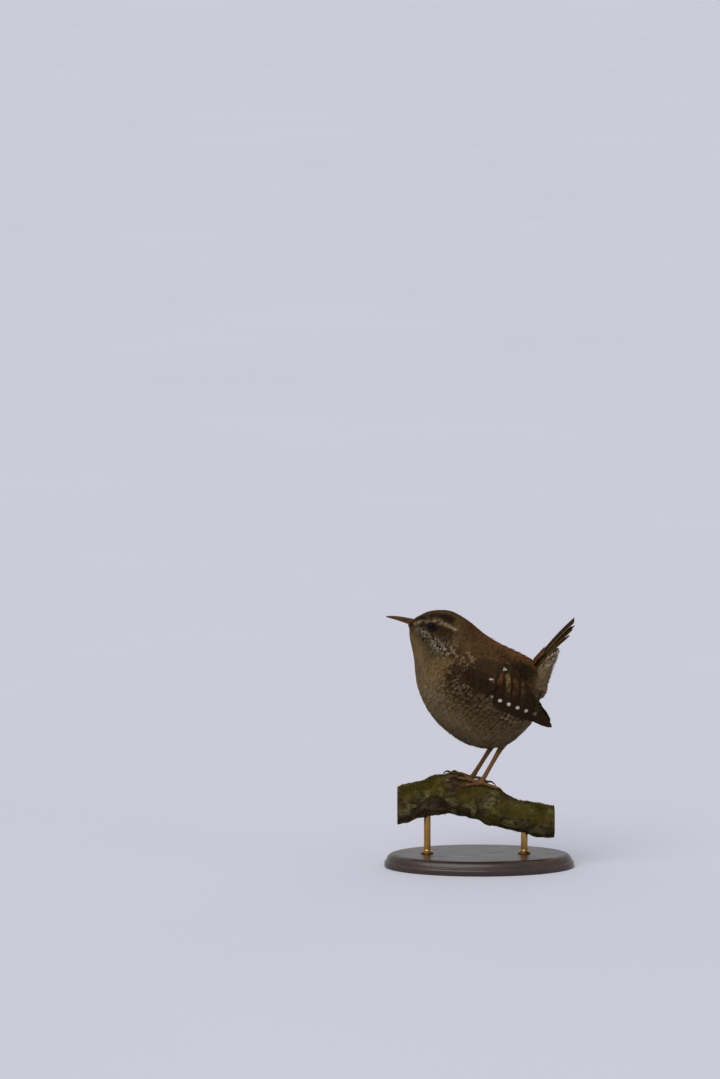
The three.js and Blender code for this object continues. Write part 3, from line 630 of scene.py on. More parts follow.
def tube(path, depth, width, sides, form=None):
    """Rings round a path: centre + up*depth*cos + across*width*sin, with form(t, turn) on the radius."""
    ahead = unit(np.gradient(path, axis=0))
    across = unit(np.array([0.0, 1.0, 0.0]) - ahead * ahead[:, 1:2])
    up = np.cross(across, ahead)
    turn = full_turn(sides)
    t = np.linspace(0, 1, len(path))[:, None]
    swell = 1 if form is None else form(t, turn[None])
    deep = (depth[:, None] * np.cos(turn) * swell)[..., None]
    wide = (width[:, None] * np.sin(turn) * swell)[..., None]
    return path[:, None] + up[:, None] * deep + across[:, None] * wide


# Body feathers

class Feather:
    """A small body feather as a thin closed lens: an outline round a raised shaft.

    The outline holds across, along pairs with barbed tips. The same triangles fill its upper face
    and its underside.
    """

    def __init__(self, outline, shaft, sheet):
        edge, ridge = np.array(outline, float), np.array(shaft, float)
        self.across = np.concatenate([edge[:, 0], ridge[:, 0], ridge[:, 0]])
        self.along = np.concatenate([edge[:, 1], ridge[:, 1], ridge[:, 1]])
        self.lens = np.concatenate([0 * edge[:, 0], 0 * ridge[:, 0] + 0.5, 0 * ridge[:, 0] - 0.5])
        sheet = np.array(sheet)
        under = np.where(sheet >= len(edge), sheet + len(ridge), sheet)
        self.faces = np.concatenate([sheet, under[:, ::-1]])
        self.size = len(self.across)


BROAD_FEATHER = Feather(
    outline=[(0, 0), (-0.62, 0.22), (-1, 0.52), (-0.92, 0.80), (-0.62, 0.77), (-0.5, 0.95), (-0.26, 0.84),
             (0, 1), (0.26, 0.84), (0.5, 0.95), (0.62, 0.77), (0.92, 0.80), (1, 0.52), (0.62, 0.22)],
    shaft=[(0, 0.3), (0, 0.62)],
    sheet=[(0, 1, 14), (1, 2, 14), (14, 2, 15), (2, 3, 15), (3, 4, 15), (4, 5, 15), (5, 6, 15), (6, 7, 15),
           (0, 14, 13), (13, 14, 12), (14, 15, 12), (12, 15, 11), (11, 15, 10), (10, 15, 9), (9, 15, 8),
           (8, 15, 7)])
FINE_FEATHER = Feather(
    outline=[(0, 0), (-0.8, 0.35), (-0.85, 0.82), (-0.42, 0.72), (0, 1), (0.42, 0.72), (0.85, 0.82),
             (0.8, 0.35)],
    shaft=[(0, 0.45)],
    sheet=[(0, 1, 8), (1, 2, 8), (2, 3, 8), (3, 4, 8), (4, 5, 8), (5, 6, 8), (6, 7, 8), (7, 0, 8)])
WISP = Feather(
    outline=[(0, 0), (-1, 0.3), (-0.6, 0.7), (0, 1), (0.6, 0.7), (1, 0.3)],
    shaft=[(0, 0.4)],
    sheet=[(0, 1, 6), (1, 2, 6), (2, 3, 6), (3, 4, 6), (4, 5, 6), (5, 0, 6)])
# Half the width and the length of one feather's patch on the unwrap
PATCH = np.array([0.0014, 0.0028])


def lay(place, form, yaw, length, width, low, high, rng, droop=0.09, ragged=0.05, thick=0.12):
    """Feathers of one form laid over a surface.

    place(x, y, h) carries each feather's own lengths along and across the lie, and its height, to
    points. Height eases from low at the root to high at the tip and droops to the edges.
    """
    n, m = len(length), form.size
    along = form.along[None] + rng.normal(0, ragged, (n, m)) * (form.along > 0.6)
    across = form.across[None] + rng.normal(0, ragged, (n, m)) * (form.along > 0.6)
    x = along * length[:, None]
    y = across * width[:, None] / 2
    cos, sin = np.cos(yaw)[:, None], np.sin(yaw)[:, None]
    rise = low[:, None] + (high - low)[:, None] * np.clip(along, 0, 1) ** 0.8
    h = rise + form.lens * thick - droop * across ** 2 * width[:, None]
    points = place(x * cos - y * sin, x * sin + y * cos, h)
    vane = np.stack([across, along, np.repeat(rng.random(n)[:, None], m, 1)], -1)
    faces = (form.faces[None] + (np.arange(n) * m)[:, None, None]).reshape(-1, 3)
    return points.reshape(-1, 3), faces, vane.reshape(-1, 3)


def over_surface(surface, s, turn, least):
    """Carries lengths along and across the lie at roots s, turn to points over a closed surface.

    Near its poles, one radian of turn counts as at least so many millimetres.
    """
    fast = np.linalg.norm(surface.read(surface.along, s, turn), axis=-1)[:, None]
    wide = np.linalg.norm(surface.read(surface.across, s, turn), axis=-1)[:, None]

    def place(x, y, h):
        return surface.at(s[:, None] + x / fast, turn[:, None] + y / np.maximum(wide, least), h)

    return place


def over_sheet(at, p, q):
    """Carries lengths along and across at roots p, q to points over a sheet."""
    def place(x, y, h):
        return at(p[:, None] + x, q[:, None] + y, h)

    return place


def put(batch, form, laid, length, marks, unwrap, start=0.0, fleck=0.0, spot=0.0):
    """Adds laid feathers of one form to a batch with all that their material reads.

    The run of the bars goes on from start along each feather. marks, start, and the shares of fleck
    and white spot are the same for all or one for each. OFBake gives each feather a patch about
    0.003 across at its root's place on the unwrap.
    """
    points, faces, vane = laid
    n, m = len(length), form.size
    run = np.reshape(start, (-1, 1)) + form.along * length[:, None]
    tips = [np.broadcast_to(np.reshape(share, (-1, 1)), (n, m)) for share in (fleck, spot)]
    batch.add(points, faces, vane=vane, marks=np.repeat(np.broadcast_to(marks, (n, 4)), m, 0),
              trim=np.stack([run, *tips], -1).reshape(-1, 3),
              OFBake=np.repeat(np.stack(unwrap, -1), m, 0) + vane[:, :2] * PATCH)


# Markings of the plumage

# Lines on the side of the head, as x, z in millimetres
BROW = [(-28.4, 109.0), (-25.6, 110.0), (-22.8, 110.2), (-20.4, 110.9), (-17.1, 109.8), (-13.9, 108.3),
        (-11.6, 106.9), (-10.2, 107.0)]
EYE_STRIPE = [(-29.0, 108.9), (-25.0, 108.7), (-21.3, 108.4), (-17.0, 107.3), (-13.5, 105.9)]
CROWN_STRIPE = [(-20.5, 112.6), (-17.5, 112.3), (-14.8, 111.5), (-12.8, 110.8)]
# Pale beads from the lores over the cheek to the side of the neck
BEADS = [(-26.5, 107.0), (-25.2, 105.8), (-22.0, 103.3), (-19.2, 100.3), (-15.5, 97.8), (-9.0, 95.8)]
# Pale fringe where the feathers of the back lap over the wing
FRINGE = [(-13.0, 93.3), (-0.5, 92.9), (2.8, 91.2), (10.9, 89.9), (16.0, 86.2), (20.5, 81.5)]


def near_line(x, z, line, width):
    """1 on a line of x, z points, falling as a bell over its width."""
    line = np.array(line, float)
    best = np.full(np.shape(x), 1e9)
    for (ax, az), (bx, bz) in zip(line[:-1], line[1:]):
        dx, dz = bx - ax, bz - az
        t = np.clip(((x - ax) * dx + (z - az) * dz) / (dx * dx + dz * dz), 0, 1)
        best = np.minimum(best, (x - ax - t * dx) ** 2 + (z - az - t * dz) ** 2)
    return np.exp(-best / width ** 2)


def bell(x, z, middle, reach):
    """1 at a place of the side view, falling as a bell over a reach along x and along z."""
    return np.exp(-((x - middle[0]) / reach[0]) ** 2 - ((z - middle[1]) / reach[1]) ** 2)


def from_back(turn):
    """Angle from the middle of the back, from 0 to pi under the belly."""
    return np.abs(np.mod(turn + np.pi, 2 * np.pi) - np.pi)


def markings(points, s, turn):
    """Shares of rufous, pale, dark and bars, and of pale flecks, at places of head and body.

    Regions are eased steps in s and in the angle a from the back. Spots, the head's stripes and a painted
    shadow on the side of the mantle are bells round places and lines of the side view.
    """
    x, z = points[..., 0], points[..., 2]
    a = from_back(turn)
    patch = noise(points, 0.22, 3)
    fine = noise(points, 0.9, 5)
    sideways = smooth(a, 0.3, 0.6)
    end = smooth(s, 13.2, 15.2)
    back = (1 - smooth(a + 0.12 * patch, 0.95, 1.5)) * (1 - end)
    belly = smooth(a + 0.15 * patch, 1.6, 2.4) * smooth(s, 6, 9)
    head = 1 - smooth(s, 5.2, 7.0)
    throat = head * smooth(a + 0.1 * patch, 1.75, 2.35)
    breast = smooth(s, 4.5, 6.5) * (1 - smooth(s, 8.0, 9.8)) * (1 - back)
    flank = smooth(s, 7.0, 9.2) * smooth(a, 0.95, 1.4) * (1 - 0.8 * belly)
    # Painted shade: the upper sides, from the neck back to the flanks and below the back, are made darker.
    side = smooth(s, 4.2, 6) * (1 - smooth(s, 9, 11)) * (1 - smooth(a, 1.4, 2.1)) * (1 - back)
    rump_edge = (1 - smooth(a, 0.15, 0.6)) * smooth(s, 6.5, 9) * (1 - end)
    mottle = noise(points, 1.3, 12)
    brow = near_line(x, z, BROW, 0.62 + 0.4 * bell(x, z, (-17.5, 110.0), (2.8, 3.0))) * sideways
    brow = brow * np.clip(0.7 + 0.9 * fine + 0.6 * mottle, 0, 1.1)
    eye_stripe = near_line(x, z, EYE_STRIPE, 1.3) * sideways
    crown_stripe = near_line(x, z, CROWN_STRIPE, 1.15) * sideways
    forehead = bell(x, z, (-25.8, 111.4), (3.0, 1.3)) * sideways
    cheek = near_line(x, z, BEADS, 2.3) * smooth(a, 0.8, 1.1) * (1 - 0.6 * smooth(x, -15, -10))
    ear = bell(x, z, (-15.5, 103.8), (3.0, 2.6)) * sideways
    lores = bell(x, z, (-26.0, 107.4), (3.0, 2.6)) * sideways
    malar = bell(x, z, (-24.4, 103.8), (1.1, 1.3)) * sideways
    gape = bell(x, z, (-29.4, 105.6), (1.0, 1.3))
    neck_side = bell(x, z, (-10.5, 100.5), (5.0, 5.0)) * sideways
    fringe = near_line(x, z, FRINGE, 1.2) * sideways * (1 - 0.6 * smooth(x, 10, 17)) * smooth(x, -9, -3)
    # Painted shadow: a dark patch on the side of the back between the wing and the rump.
    painted_mantle_shadow = bell(x, z, (19.0, 88.5), (7.5, 4.0)) * sideways
    speckled = bell(x, z, (16.0, 68.9), (6.5, 2.6)) * sideways
    body = 1 - head
    rufous = (0.24 * head + (0.75 - 0.4 * neck_side) * back * body + 0.14 * rump_edge + 0.4 * flank
              + 0.34 * breast + 0.12 * neck_side + 0.9 * gape + 0.14 * patch)
    # Painted light: the breast is made paler towards its front edge, to lift that edge out of shade.
    pale = (0.34 * brow + 0.14 * throat + 0.34 * belly + 0.34 * end + 0.16 * lores + 0.06 * fringe
            + 0.22 * breast * smooth(a, 2.1, 2.9))
    dark = (0.62 * head * (1 - 0.85 * throat) + 0.52 * back * body * (1 - 0.95 * rump_edge) + 0.84 * flank
            + 0.18 * belly + 0.1 * breast + 0.44 * side + 0.05 * end + 0.45 * forehead + 0.3 * speckled
            + eye_stripe + 1.2 * crown_stripe + 0.5 * cheek + 0.45 * ear + 0.9 * malar
            + 0.7 * painted_mantle_shadow - 0.35 * rump_edge * head + 0.12 * neck_side)
    dark = np.clip(dark, 0, 1) * (1 - np.clip(brow, 0, 0.85)) * (1 - 0.4 * fringe)
    dark = dark + 0.12 * patch + 0.08 * fine
    bars = (0.85 * flank * (1 - end) + 0.12 * back * body + 0.14 * breast
            + 0.3 * belly * smooth(s, 9, 12))
    fleck = (0.78 * cheek + 0.9 * brow + speckled + 0.22 * breast + 0.12 * throat + 0.22 * flank
             + 0.6 * lores * (1 - forehead) + 0.22 * neck_side + 0.3 * end + 0.22 * belly + 0.28 * fringe)
    fleck = fleck * (1 - eye_stripe) * (1 - crown_stripe)
    marks = np.stack([rufous, pale, dark, bars], -1)
    return np.clip(marks, 0, 1), np.clip(fleck, 0, 1)


# Materials

def linear(value):
    """A display colour as scene-linear red, green, blue and full alpha."""
    c = np.array(value[:], float)
    c = np.where(c <= 0.04045, c / 12.92, ((c + 0.055) / 1.055) ** 2.4)
    return (*c, 1.0)


class Tree:
    """The nodes of a material or a group, with a short way to add each usual one."""

    def __init__(self, inner):
        self.inner = inner

    def add(self, kind, inputs=(), **settings):
        """A node with its settings, and its inputs set to values or linked from sockets."""
        node = self.inner.nodes.new(kind)
        for name, value in settings.items():
            setattr(node, name, value)
        for key, value in dict(inputs).items():
            if isinstance(value, bpy.types.NodeSocket):
                self.inner.links.new(value, node.inputs[key])
            else:
                node.inputs[key].default_value = value
        return node

    def maths(self, operation, a, b=0.0, c=0.0, clamp=False):
        """The output of a Math node."""
        inputs = {0: a, 1: b, 2: c} if operation == "MULTIPLY_ADD" else {0: a, 1: b}
        return self.add("ShaderNodeMath", inputs, operation=operation, use_clamp=clamp).outputs[0]

    def times(self, a, b):
        """a times b."""
        return self.maths("MULTIPLY", a, b)

    def minus(self, a, b):
        """a less b."""
        return self.maths("SUBTRACT", a, b)

    def times_plus(self, a, b, c, clamp=False):
        """a times b, plus c."""
        return self.maths("MULTIPLY_ADD", a, b, c, clamp)

    def eased(self, value, low, high, to_low=0.0, to_high=1.0):
        """A value carried by a smooth step from low..high to to_low..to_high."""
        inputs = {"Value": value, "From Min": low, "From Max": high, "To Min": to_low, "To Max": to_high}
        return self.add("ShaderNodeMapRange", inputs, interpolation_type="SMOOTHSTEP").outputs["Result"]

    def blend(self, share, a, b, kind="MIX"):
        """Two colours mixed by a share."""
        return self.add("ShaderNodeMix", {0: share, 6: a, 7: b}, data_type="RGBA", blend_type=kind,
                        clamp_factor=True).outputs[2]

    def noise(self, place, scale, detail=3.0, roughness=0.55, stretch=None):
        """Noise from 0 to 1 over a place, finer with scale, drawn out where stretch is small."""
        if stretch is not None:
            place = self.add("ShaderNodeMapping", {"Vector": place, "Scale": stretch}).outputs[0]
        inputs = {"Vector": place, "Scale": scale, "Detail": detail, "Roughness": roughness}
        return self.add("ShaderNodeTexNoise", inputs).outputs["Fac"]

    def cells(self, place, scale):
        """Distance to the nearest of many scattered points, as small scales and wrinkles have."""
        return self.add("ShaderNodeTexVoronoi", {"Vector": place, "Scale": scale}).outputs["Distance"]

    def parts(self, vector):
        """The three numbers of a vector socket."""
        return self.add("ShaderNodeSeparateXYZ", {0: vector}).outputs[:]

    def bands(self, paint):
        """The red, green and blue of a colour socket."""
        return self.add("ShaderNodeSeparateColor", {0: paint}).outputs[:3]

    def toned(self, paint, patch, dice):
        """A colour made lighter or darker by noise and by each feather's own number."""
        lift = self.times_plus(patch, 0.5, self.times_plus(dice, 0.3, 0.6))
        grey = self.add("ShaderNodeCombineXYZ", {0: lift, 1: lift, 2: lift}).outputs[0]
        return self.blend(1.0, paint, grey, "MULTIPLY")

    def carried(self, name):
        """The node that reads an attribute of the piece."""
        return self.add("ShaderNodeAttribute", attribute_name=name)

    def tint(self):
        """The piece's attribute tint, one number for each point."""
        return self.carried("tint").outputs["Fac"]

    def use(self, group, inputs):
        """A group placed among the nodes, as its outputs."""
        return self.add("ShaderNodeGroup", inputs, node_tree=group).outputs

    def shader(self, base, rough, height=None, bump=0.0, distance=0.0001, specular=0.5, **constants):
        """Puts a Principled shader at the end of a material, with a bump if it has a height."""
        inputs = {"Base Color": base, "Roughness": rough, "Specular IOR Level": specular, **constants}
        if height is not None:
            raised = {"Height": height, "Strength": bump, "Distance": distance}
            inputs["Normal"] = self.add("ShaderNodeBump", raised).outputs[0]
        finished = self.add("ShaderNodeBsdfPrincipled", inputs)
        self.add("ShaderNodeOutputMaterial", {"Surface": finished.outputs[0]})


def new_group(name, inputs, outputs):
    """An empty node group with named sockets, and the outputs of its input node."""
    group = bpy.data.node_groups.new(name, "ShaderNodeTree")
    kinds = {"f": "NodeSocketFloat", "v": "NodeSocketVector", "c": "NodeSocketColor"}
    for label, kind in inputs:
        group.interface.new_socket(name=label, in_out="INPUT", socket_type=kinds[kind])
    for label, kind in outputs:
        group.interface.new_socket(name=label, in_out="OUTPUT", socket_type=kinds[kind])
    tree = Tree(group)
    return tree, tree.add("NodeGroupInput").outputs


def close_group(tree, **results):
    """Links a group's results to its outputs."""
    tree.add("NodeGroupOutput", results)
    return tree.inner


def barbs_group():
    """Fine lines that run out from a feather's shaft to its edges, and the shaft itself."""
    tree, given = new_group("feather_barbs", [("Vane", "v"), ("Fineness", "f")],
                            [("Line", "f"), ("Shaft", "f")])
    across, along, dice = tree.parts(given["Vane"])
    out = tree.maths("ABSOLUTE", across)
    slant = tree.minus(along, tree.times(out, 0.35))
    phase = tree.times_plus(slant, given["Fineness"], tree.times(dice, 9.0))
    line = tree.times_plus(tree.maths("SINE", phase), 0.5, 0.5)
    shaft = tree.eased(out, 0.02, 0.10, 1.0, 0.0)
    return close_group(tree, Line=line, Shaft=shaft)


def bars_group():
    """Wavy bars over a run: a sine of the run, bent by noise, cut to a soft edge."""
    tree, given = new_group(
        "feather_bars",
        [("Run", "f"), ("Spacing", "f"), ("Warp", "f"), ("Shift", "f"), ("Place", "v"), ("Edge", "f")],
        [("Mask", "f")])
    bend = tree.noise(given["Place"], 260.0, 2.0)
    turns = tree.maths("DIVIDE", given["Run"], given["Spacing"])
    bent = tree.times_plus(tree.minus(bend, 0.5), given["Warp"], turns)
    phase = tree.times(tree.maths("ADD", bent, given["Shift"]), 2 * math.pi)
    mask = tree.times_plus(tree.minus(tree.maths("SINE", phase), given["Edge"]), 1.6, 0.5, clamp=True)
    return close_group(tree, Mask=mask)


def plumage_group(bars, barbs):
    """Colour of head and body from the marks that skin and feathers carry."""
    tree, given = new_group(
        "body_plumage",
        [("Marks", "c"), ("Barring", "f"), ("Trim", "v"), ("Vane", "v"), ("Place", "v"),
         ("Buff", "c"), ("Rufous", "c"), ("Umber", "c"), ("Cream", "c"), ("Spot", "c")],
        [("Color", "c"), ("Height", "f")])
    rufous, pale, dark = tree.bands(given["Marks"])
    run, fleck, spot = tree.parts(given["Trim"])
    _, along, dice = tree.parts(given["Vane"])
    patch = tree.noise(given["Place"], 190.0, 3.0)
    grain = tree.noise(given["Place"], 1500.0, 2.0)
    lines = tree.use(barbs, {"Vane": given["Vane"], "Fineness": 60.0})
    mask = tree.use(bars, {"Run": run, "Spacing": 2.2, "Warp": 2.1, "Place": given["Place"],
                           "Shift": tree.times(dice, 0.28), "Edge": 0.0})["Mask"]
    ground = tree.blend(rufous, given["Buff"], given["Rufous"])
    ground = tree.blend(pale, ground, given["Cream"])
    ground = tree.blend(dark, ground, given["Umber"])
    ground = tree.toned(ground, patch, dice)
    strength = tree.times(given["Barring"], 0.9)
    ground = tree.blend(tree.times(mask, strength), ground, given["Umber"])
    between = tree.times(tree.minus(1.0, mask), strength)
    ground = tree.blend(tree.times(between, 0.38), ground, given["Buff"])
    tip = tree.eased(along, 0.62, 0.9)
    lucky = tree.eased(tree.maths("FRACT", tree.times(dice, 37.0)), 0.45, 0.6)
    tipped = tree.times(tree.times(tip, fleck), lucky)
    ground = tree.blend(tree.times(tipped, 0.85), ground, given["Cream"])
    ground = tree.blend(tree.times(tip, spot), ground, given["Spot"])
    # Painted shade: each feather is darker towards its root, where the feathers over it shade it; its downy
    # base is also darker in itself.
    ground = tree.blend(tree.eased(along, 0.05, 0.5, 0.45, 0.0), ground, given["Umber"])
    shade = tree.times(tree.minus(1.0, lines["Line"]), 0.22)
    ground = tree.blend(shade, ground, given["Umber"])
    height = tree.times_plus(lines["Line"], 0.6, tree.times(grain, 0.4))
    return close_group(tree, Color=ground, Height=height)


def vane_group(bars, barbs):
    """Colour of flight feathers: rufous and buff bars over dark webs, round dots and pale tips."""
    tree, given = new_group(
        "flight_vane",
        [("Marks", "c"), ("Barring", "f"), ("Trim", "v"), ("Vane", "v"), ("Dots", "v"), ("Place", "v"),
         ("Spacing", "f"), ("Dot Spacing", "f"), ("Rufous", "c"), ("Buff", "c"), ("Umber", "c"),
         ("Spot", "c")],
        [("Color", "c"), ("Height", "f")])
    rufous, pale, dark = tree.bands(given["Marks"])
    run, tip, _ = tree.parts(given["Trim"])
    dot_run, dot_side, dotted = tree.parts(given["Dots"])
    across, along, dice = tree.parts(given["Vane"])
    grain = tree.noise(given["Place"], 900.0, 2.0)
    lines = tree.use(barbs, {"Vane": given["Vane"], "Fineness": 300.0})
    mask = tree.use(bars, {"Run": run, "Spacing": given["Spacing"], "Warp": 0.9, "Place": given["Place"],
                           "Shift": 0.25, "Edge": -0.25})["Mask"]
    turns = tree.maths("DIVIDE", run, given["Spacing"])
    other = tree.times_plus(tree.maths("COSINE", tree.times(turns, math.pi)), -0.5, 0.5)
    plain = tree.times(other, tree.minus(1.0, rufous))
    web = tree.blend(plain, given["Rufous"], given["Buff"])
    mask = tree.times(mask, tree.eased(tree.noise(given["Place"], 420.0, 2.0), 0.35, 0.6, 0.2, 0.9))
    web = tree.blend(tree.times(mask, given["Barring"]), given["Umber"], web)
    web = tree.blend(dark, web, given["Umber"])
    web = tree.blend(pale, web, given["Buff"])
    web = tree.toned(web, grain, dice)
    beat = tree.minus(tree.maths("FRACT", tree.maths("DIVIDE", dot_run, given["Dot Spacing"])), 0.5)
    beat = tree.times(beat, given["Dot Spacing"])
    reach = tree.maths("SQRT", tree.times_plus(beat, beat, tree.times(dot_side, dot_side)))
    dot = tree.eased(tree.times_plus(grain, 1.0, reach), 1.1, 1.5, 1.0, 0.0)
    web = tree.blend(tree.times(dot, dotted), web, given["Spot"])
    middle = tree.eased(tree.maths("ABSOLUTE", tree.maths("ADD", across, 0.1)), 0.4, 0.75, 1.0, 0.0)
    end = tree.times(tree.eased(along, 0.85, 0.9), middle)
    web = tree.blend(tree.times(end, tip), web, given["Spot"])
    shade = tree.times(tree.minus(1.0, lines["Line"]), 0.22)
    shade = tree.maths("MAXIMUM", shade, tree.times(lines["Shaft"], 0.5))
    web = tree.blend(shade, web, given["Umber"])
    height = tree.times_plus(lines["Shaft"], 1.5, lines["Line"])
    return close_group(tree, Color=web, Height=height)


def plumage(tree, group, place, paint, **more):
    """A plumage group with what feathers carry: marks, barring, trim and vane."""
    marks = tree.carried("marks").outputs
    return tree.use(bpy.data.node_groups[group], {
        "Marks": marks["Color"], "Barring": marks["Alpha"], "Trim": tree.carried("trim").outputs["Vector"],
        "Vane": tree.carried("vane").outputs["Vector"], "Place": place, "Rufous": paint.rufous,
        "Buff": paint.buff, "Umber": paint.umber, "Spot": paint.spot, **more})


def plumage_material(tree, place, paint):
    """Soft body feathers, and the skin under them."""
    out = plumage(tree, "body_plumage", place, paint, Cream=paint.cream)
    tree.shader(out["Color"], 0.9, out["Height"], 0.35, 0.00008, specular=0.06)


def vane_material(tree, place, paint, closeness):
    """Flight feathers of the wing, or of the tail with closer bars."""
    coat = bpy.context.scene.wren_coat
    out = plumage(tree, "flight_vane", place, paint, Dots=tree.carried("dots").outputs["Vector"],
                  Spacing=coat.bar_spacing / MM * closeness, **{"Dot Spacing": coat.dot_spacing / MM})
    tree.shader(out["Color"], 0.8, out["Height"], 0.3, 0.00006, specular=0.06)


def horn_material(tree, place, paint, dark_share):
    """Bill and claws: satin horn, streaked along X, paler where the attribute tint says."""
    streak = tree.noise(place, 700.0, 4.0, stretch=(0.15, 1.0, 1.0))
    share = tree.times_plus(streak, 0.5, tree.minus(tree.tint(), dark_share), clamp=True)
    base = tree.blend(share, paint.horn, paint.horn_pale)
    rough = tree.eased(streak, 0.3, 0.7, 0.34, 0.5)
    tree.shader(base, rough, streak, 0.15, 0.00005, specular=0.15)


def eye_material(tree, place, paint):
    """A wet, nearly black eye with a slightly lighter iris ring round the pupil."""
    base = tree.blend(tree.tint(), (0.002, 0.0015, 0.0012, 1), paint.eye)
    tree.shader(base, 0.08, specular=0.06)


def lid_material(tree, place, paint):
    """Bare, finely wrinkled skin of the lids."""
    cells = tree.cells(place, 3200.0)
    base = tree.blend(tree.eased(cells, 0.1, 0.7), paint.eye, paint.umber)
    tree.shader(base, 0.6, cells, 0.4, 0.00006, specular=0.2)


def leg_material(tree, place, paint):
    """Scaled skin of shanks and toes, darker between the scutes."""
    seam = tree.tint()
    patch = tree.noise(place, 420.0, 3.0)
    cells = tree.cells(place, 2600.0)
    base = tree.blend(tree.times(patch, 0.6), paint.leg, paint.horn)
    base = tree.blend(tree.times(seam, 0.75), base, paint.umber)
    height = tree.times_plus(seam, -1.0, tree.times(cells, 0.4))
    rough = tree.eased(patch, 0.3, 0.7, 0.42, 0.62)
    tree.shader(base, rough, height, 0.5, 0.00008, specular=0.3)


def bark_material(tree, place, paint):
    """Rough bark with cracks, patches of moss and lichen, and sawn ends with rings."""
    marks = tree.carried("marks")
    mossy, crusty, sawn = tree.bands(marks.outputs["Color"])
    ring = marks.outputs["Alpha"]
    coarse = tree.noise(place, 260.0, 5.0, 0.65)
    fine = tree.noise(place, 1400.0, 4.0, 0.6)
    crack = tree.noise(place, 420.0, 3.0, 0.5, stretch=(0.35, 1.0, 1.0))
    base = tree.blend(tree.eased(coarse, 0.35, 0.62), paint.umber, paint.bark)
    base = tree.blend(tree.eased(crack, 0.52, 0.44, 0.0, 0.7), base, paint.umber)
    green = tree.times(mossy, tree.eased(fine, 0.3, 0.55))
    leafy = tree.blend(tree.eased(coarse, 0.42, 0.62), paint.moss, paint.lichen)
    leafy = tree.blend(0.82, leafy, paint.moss)
    base = tree.blend(green, base, leafy)
    base = tree.blend(tree.times(crusty, tree.eased(fine, 0.4, 0.5)), base, paint.lichen)
    rings = tree.maths("SINE", tree.times(ring, 60.0))
    wood = tree.blend(tree.eased(rings, -0.2, 0.9, 0.0, 0.55), paint.cream, paint.leg)
    wood = tree.blend(tree.eased(fine, 0.3, 0.7, 0.0, 0.4), wood, paint.bark)
    base = tree.blend(sawn, base, wood)
    height = tree.times_plus(coarse, 1.0, tree.times(fine, 0.5))
    tree.shader(base, 0.9, height, 0.6, 0.0004, specular=0.1)


def moss_material(tree, place, paint):
    """Moss leaves, from brown-green at the foot to yellow-green at the tip."""
    patch = tree.noise(place, 300.0, 3.0)
    base = tree.blend(tree.eased(patch, 0.35, 0.65), paint.moss, paint.lichen)
    base = tree.blend(0.82, base, paint.moss)
    base = tree.blend(tree.eased(tree.tint(), 0.0, 0.8, 0.6, 0.0), base, paint.umber)
    tree.shader(base, 0.85, specular=0.1)


def wood_material(tree, place, paint):
    """Dark stained wood: long grain with fine pores under a satin coat."""
    grain = tree.noise(place, 240.0, 6.0, 0.6, stretch=(0.06, 1.0, 1.0))
    pores = tree.noise(place, 1500.0, 2.0, 0.5, stretch=(0.05, 1.0, 1.0))
    base = tree.blend(tree.eased(grain, 0.35, 0.7), paint.wood, paint.horn)
    base = tree.blend(tree.eased(pores, 0.56, 0.66, 0.0, 0.6), base, paint.eye)
    rough = tree.eased(pores, 0.4, 0.7, 0.30, 0.5)
    tree.shader(base, rough, pores, 0.2, 0.0001, specular=0.45,
                **{"Coat Weight": 0.25, "Coat Roughness": 0.2})


def brass_material(tree, place, paint):
    """Brushed brass, the strokes round the rods."""
    strokes = tree.noise(place, 900.0, 3.0, 0.5, stretch=(0.2, 0.2, 4.0))
    tone = tree.noise(place, 160.0, 3.0)
    base = tree.blend(tree.eased(tone, 0.4, 0.75, 0.0, 0.35), paint.brass, paint.leg)
    rough = tree.eased(strokes, 0.3, 0.7, 0.24, 0.42)
    tree.shader(base, rough, strokes, 0.08, 0.00005, Metallic=1.0)


def floor_material(tree, place, paint):
    """Plain pale studio floor with a faint mottle."""
    tone = tree.noise(place, 3.0, 2.0)
    darker = (*(0.92 * c for c in paint.floor[:3]), 1)
    base = tree.blend(tree.eased(tone, 0.3, 0.7, 0.0, 0.25), paint.floor, darker)
    tree.shader(base, 0.9, specular=0.1)


# Each material's maker and what it is given beside the colours
MATERIALS = {
    "body_feathers": (plumage_material,),
    "barred_wing": (vane_material, 1.0),
    "barred_tail": (vane_material, 0.55),
    "satin_horn": (horn_material, 0.25),
    "claw_horn": (horn_material, 0.35),
    "eye_gloss": (eye_material,),
    "lid_skin": (lid_material,),
    "leg_skin": (leg_material,),
    "rough_bark": (bark_material,),
    "moss_leaves": (moss_material,),
    "stained_wood": (wood_material,),
    "brushed_brass": (brass_material,),
    "studio_floor": (floor_material,),
}


def finish(name):
    """A material of the wren by name, made the first time it is asked for."""
    if name in bpy.data.materials:
        return bpy.data.materials[name]
    if "feather_barbs" not in bpy.data.node_groups:
        barbs, bars = barbs_group(), bars_group()
        plumage_group(bars, barbs)
        vane_group(bars, barbs)
    colours = bpy.context.scene.wren_colours
    paint = SimpleNamespace(**{key: linear(getattr(colours, key)) for key in WrenColours.__annotations__})
    material = bpy.data.materials.new(name)
    material.use_nodes = True
    material.node_tree.nodes.clear()
    tree = Tree(material.node_tree)
    make, *values = MATERIALS[name]
    make(tree, tree.add("ShaderNodeTexCoord").outputs["Object"], paint, *values)
    return material


# The body's skin and coat

# Depth of the coat and length of its feathers along the ribs, in millimetres
COAT_DEPTHS = [(-1, 0.25), (0, 0.3), (2, 0.45), (5, 0.7), (8, 1.0), (17, 1.0)]
FEATHER_LENGTHS = [(-1, 1.0), (0, 1.0), (1, 1.2), (2, 1.5), (3, 1.9), (5, 2.8), (7, 4.2), (9, 5.2),
                   (12, 5.8), (15, 5.4), (17, 4.6)]
# How far past its end ribs the body is sampled: it would close to a point at 1
PAST_END = 0.98
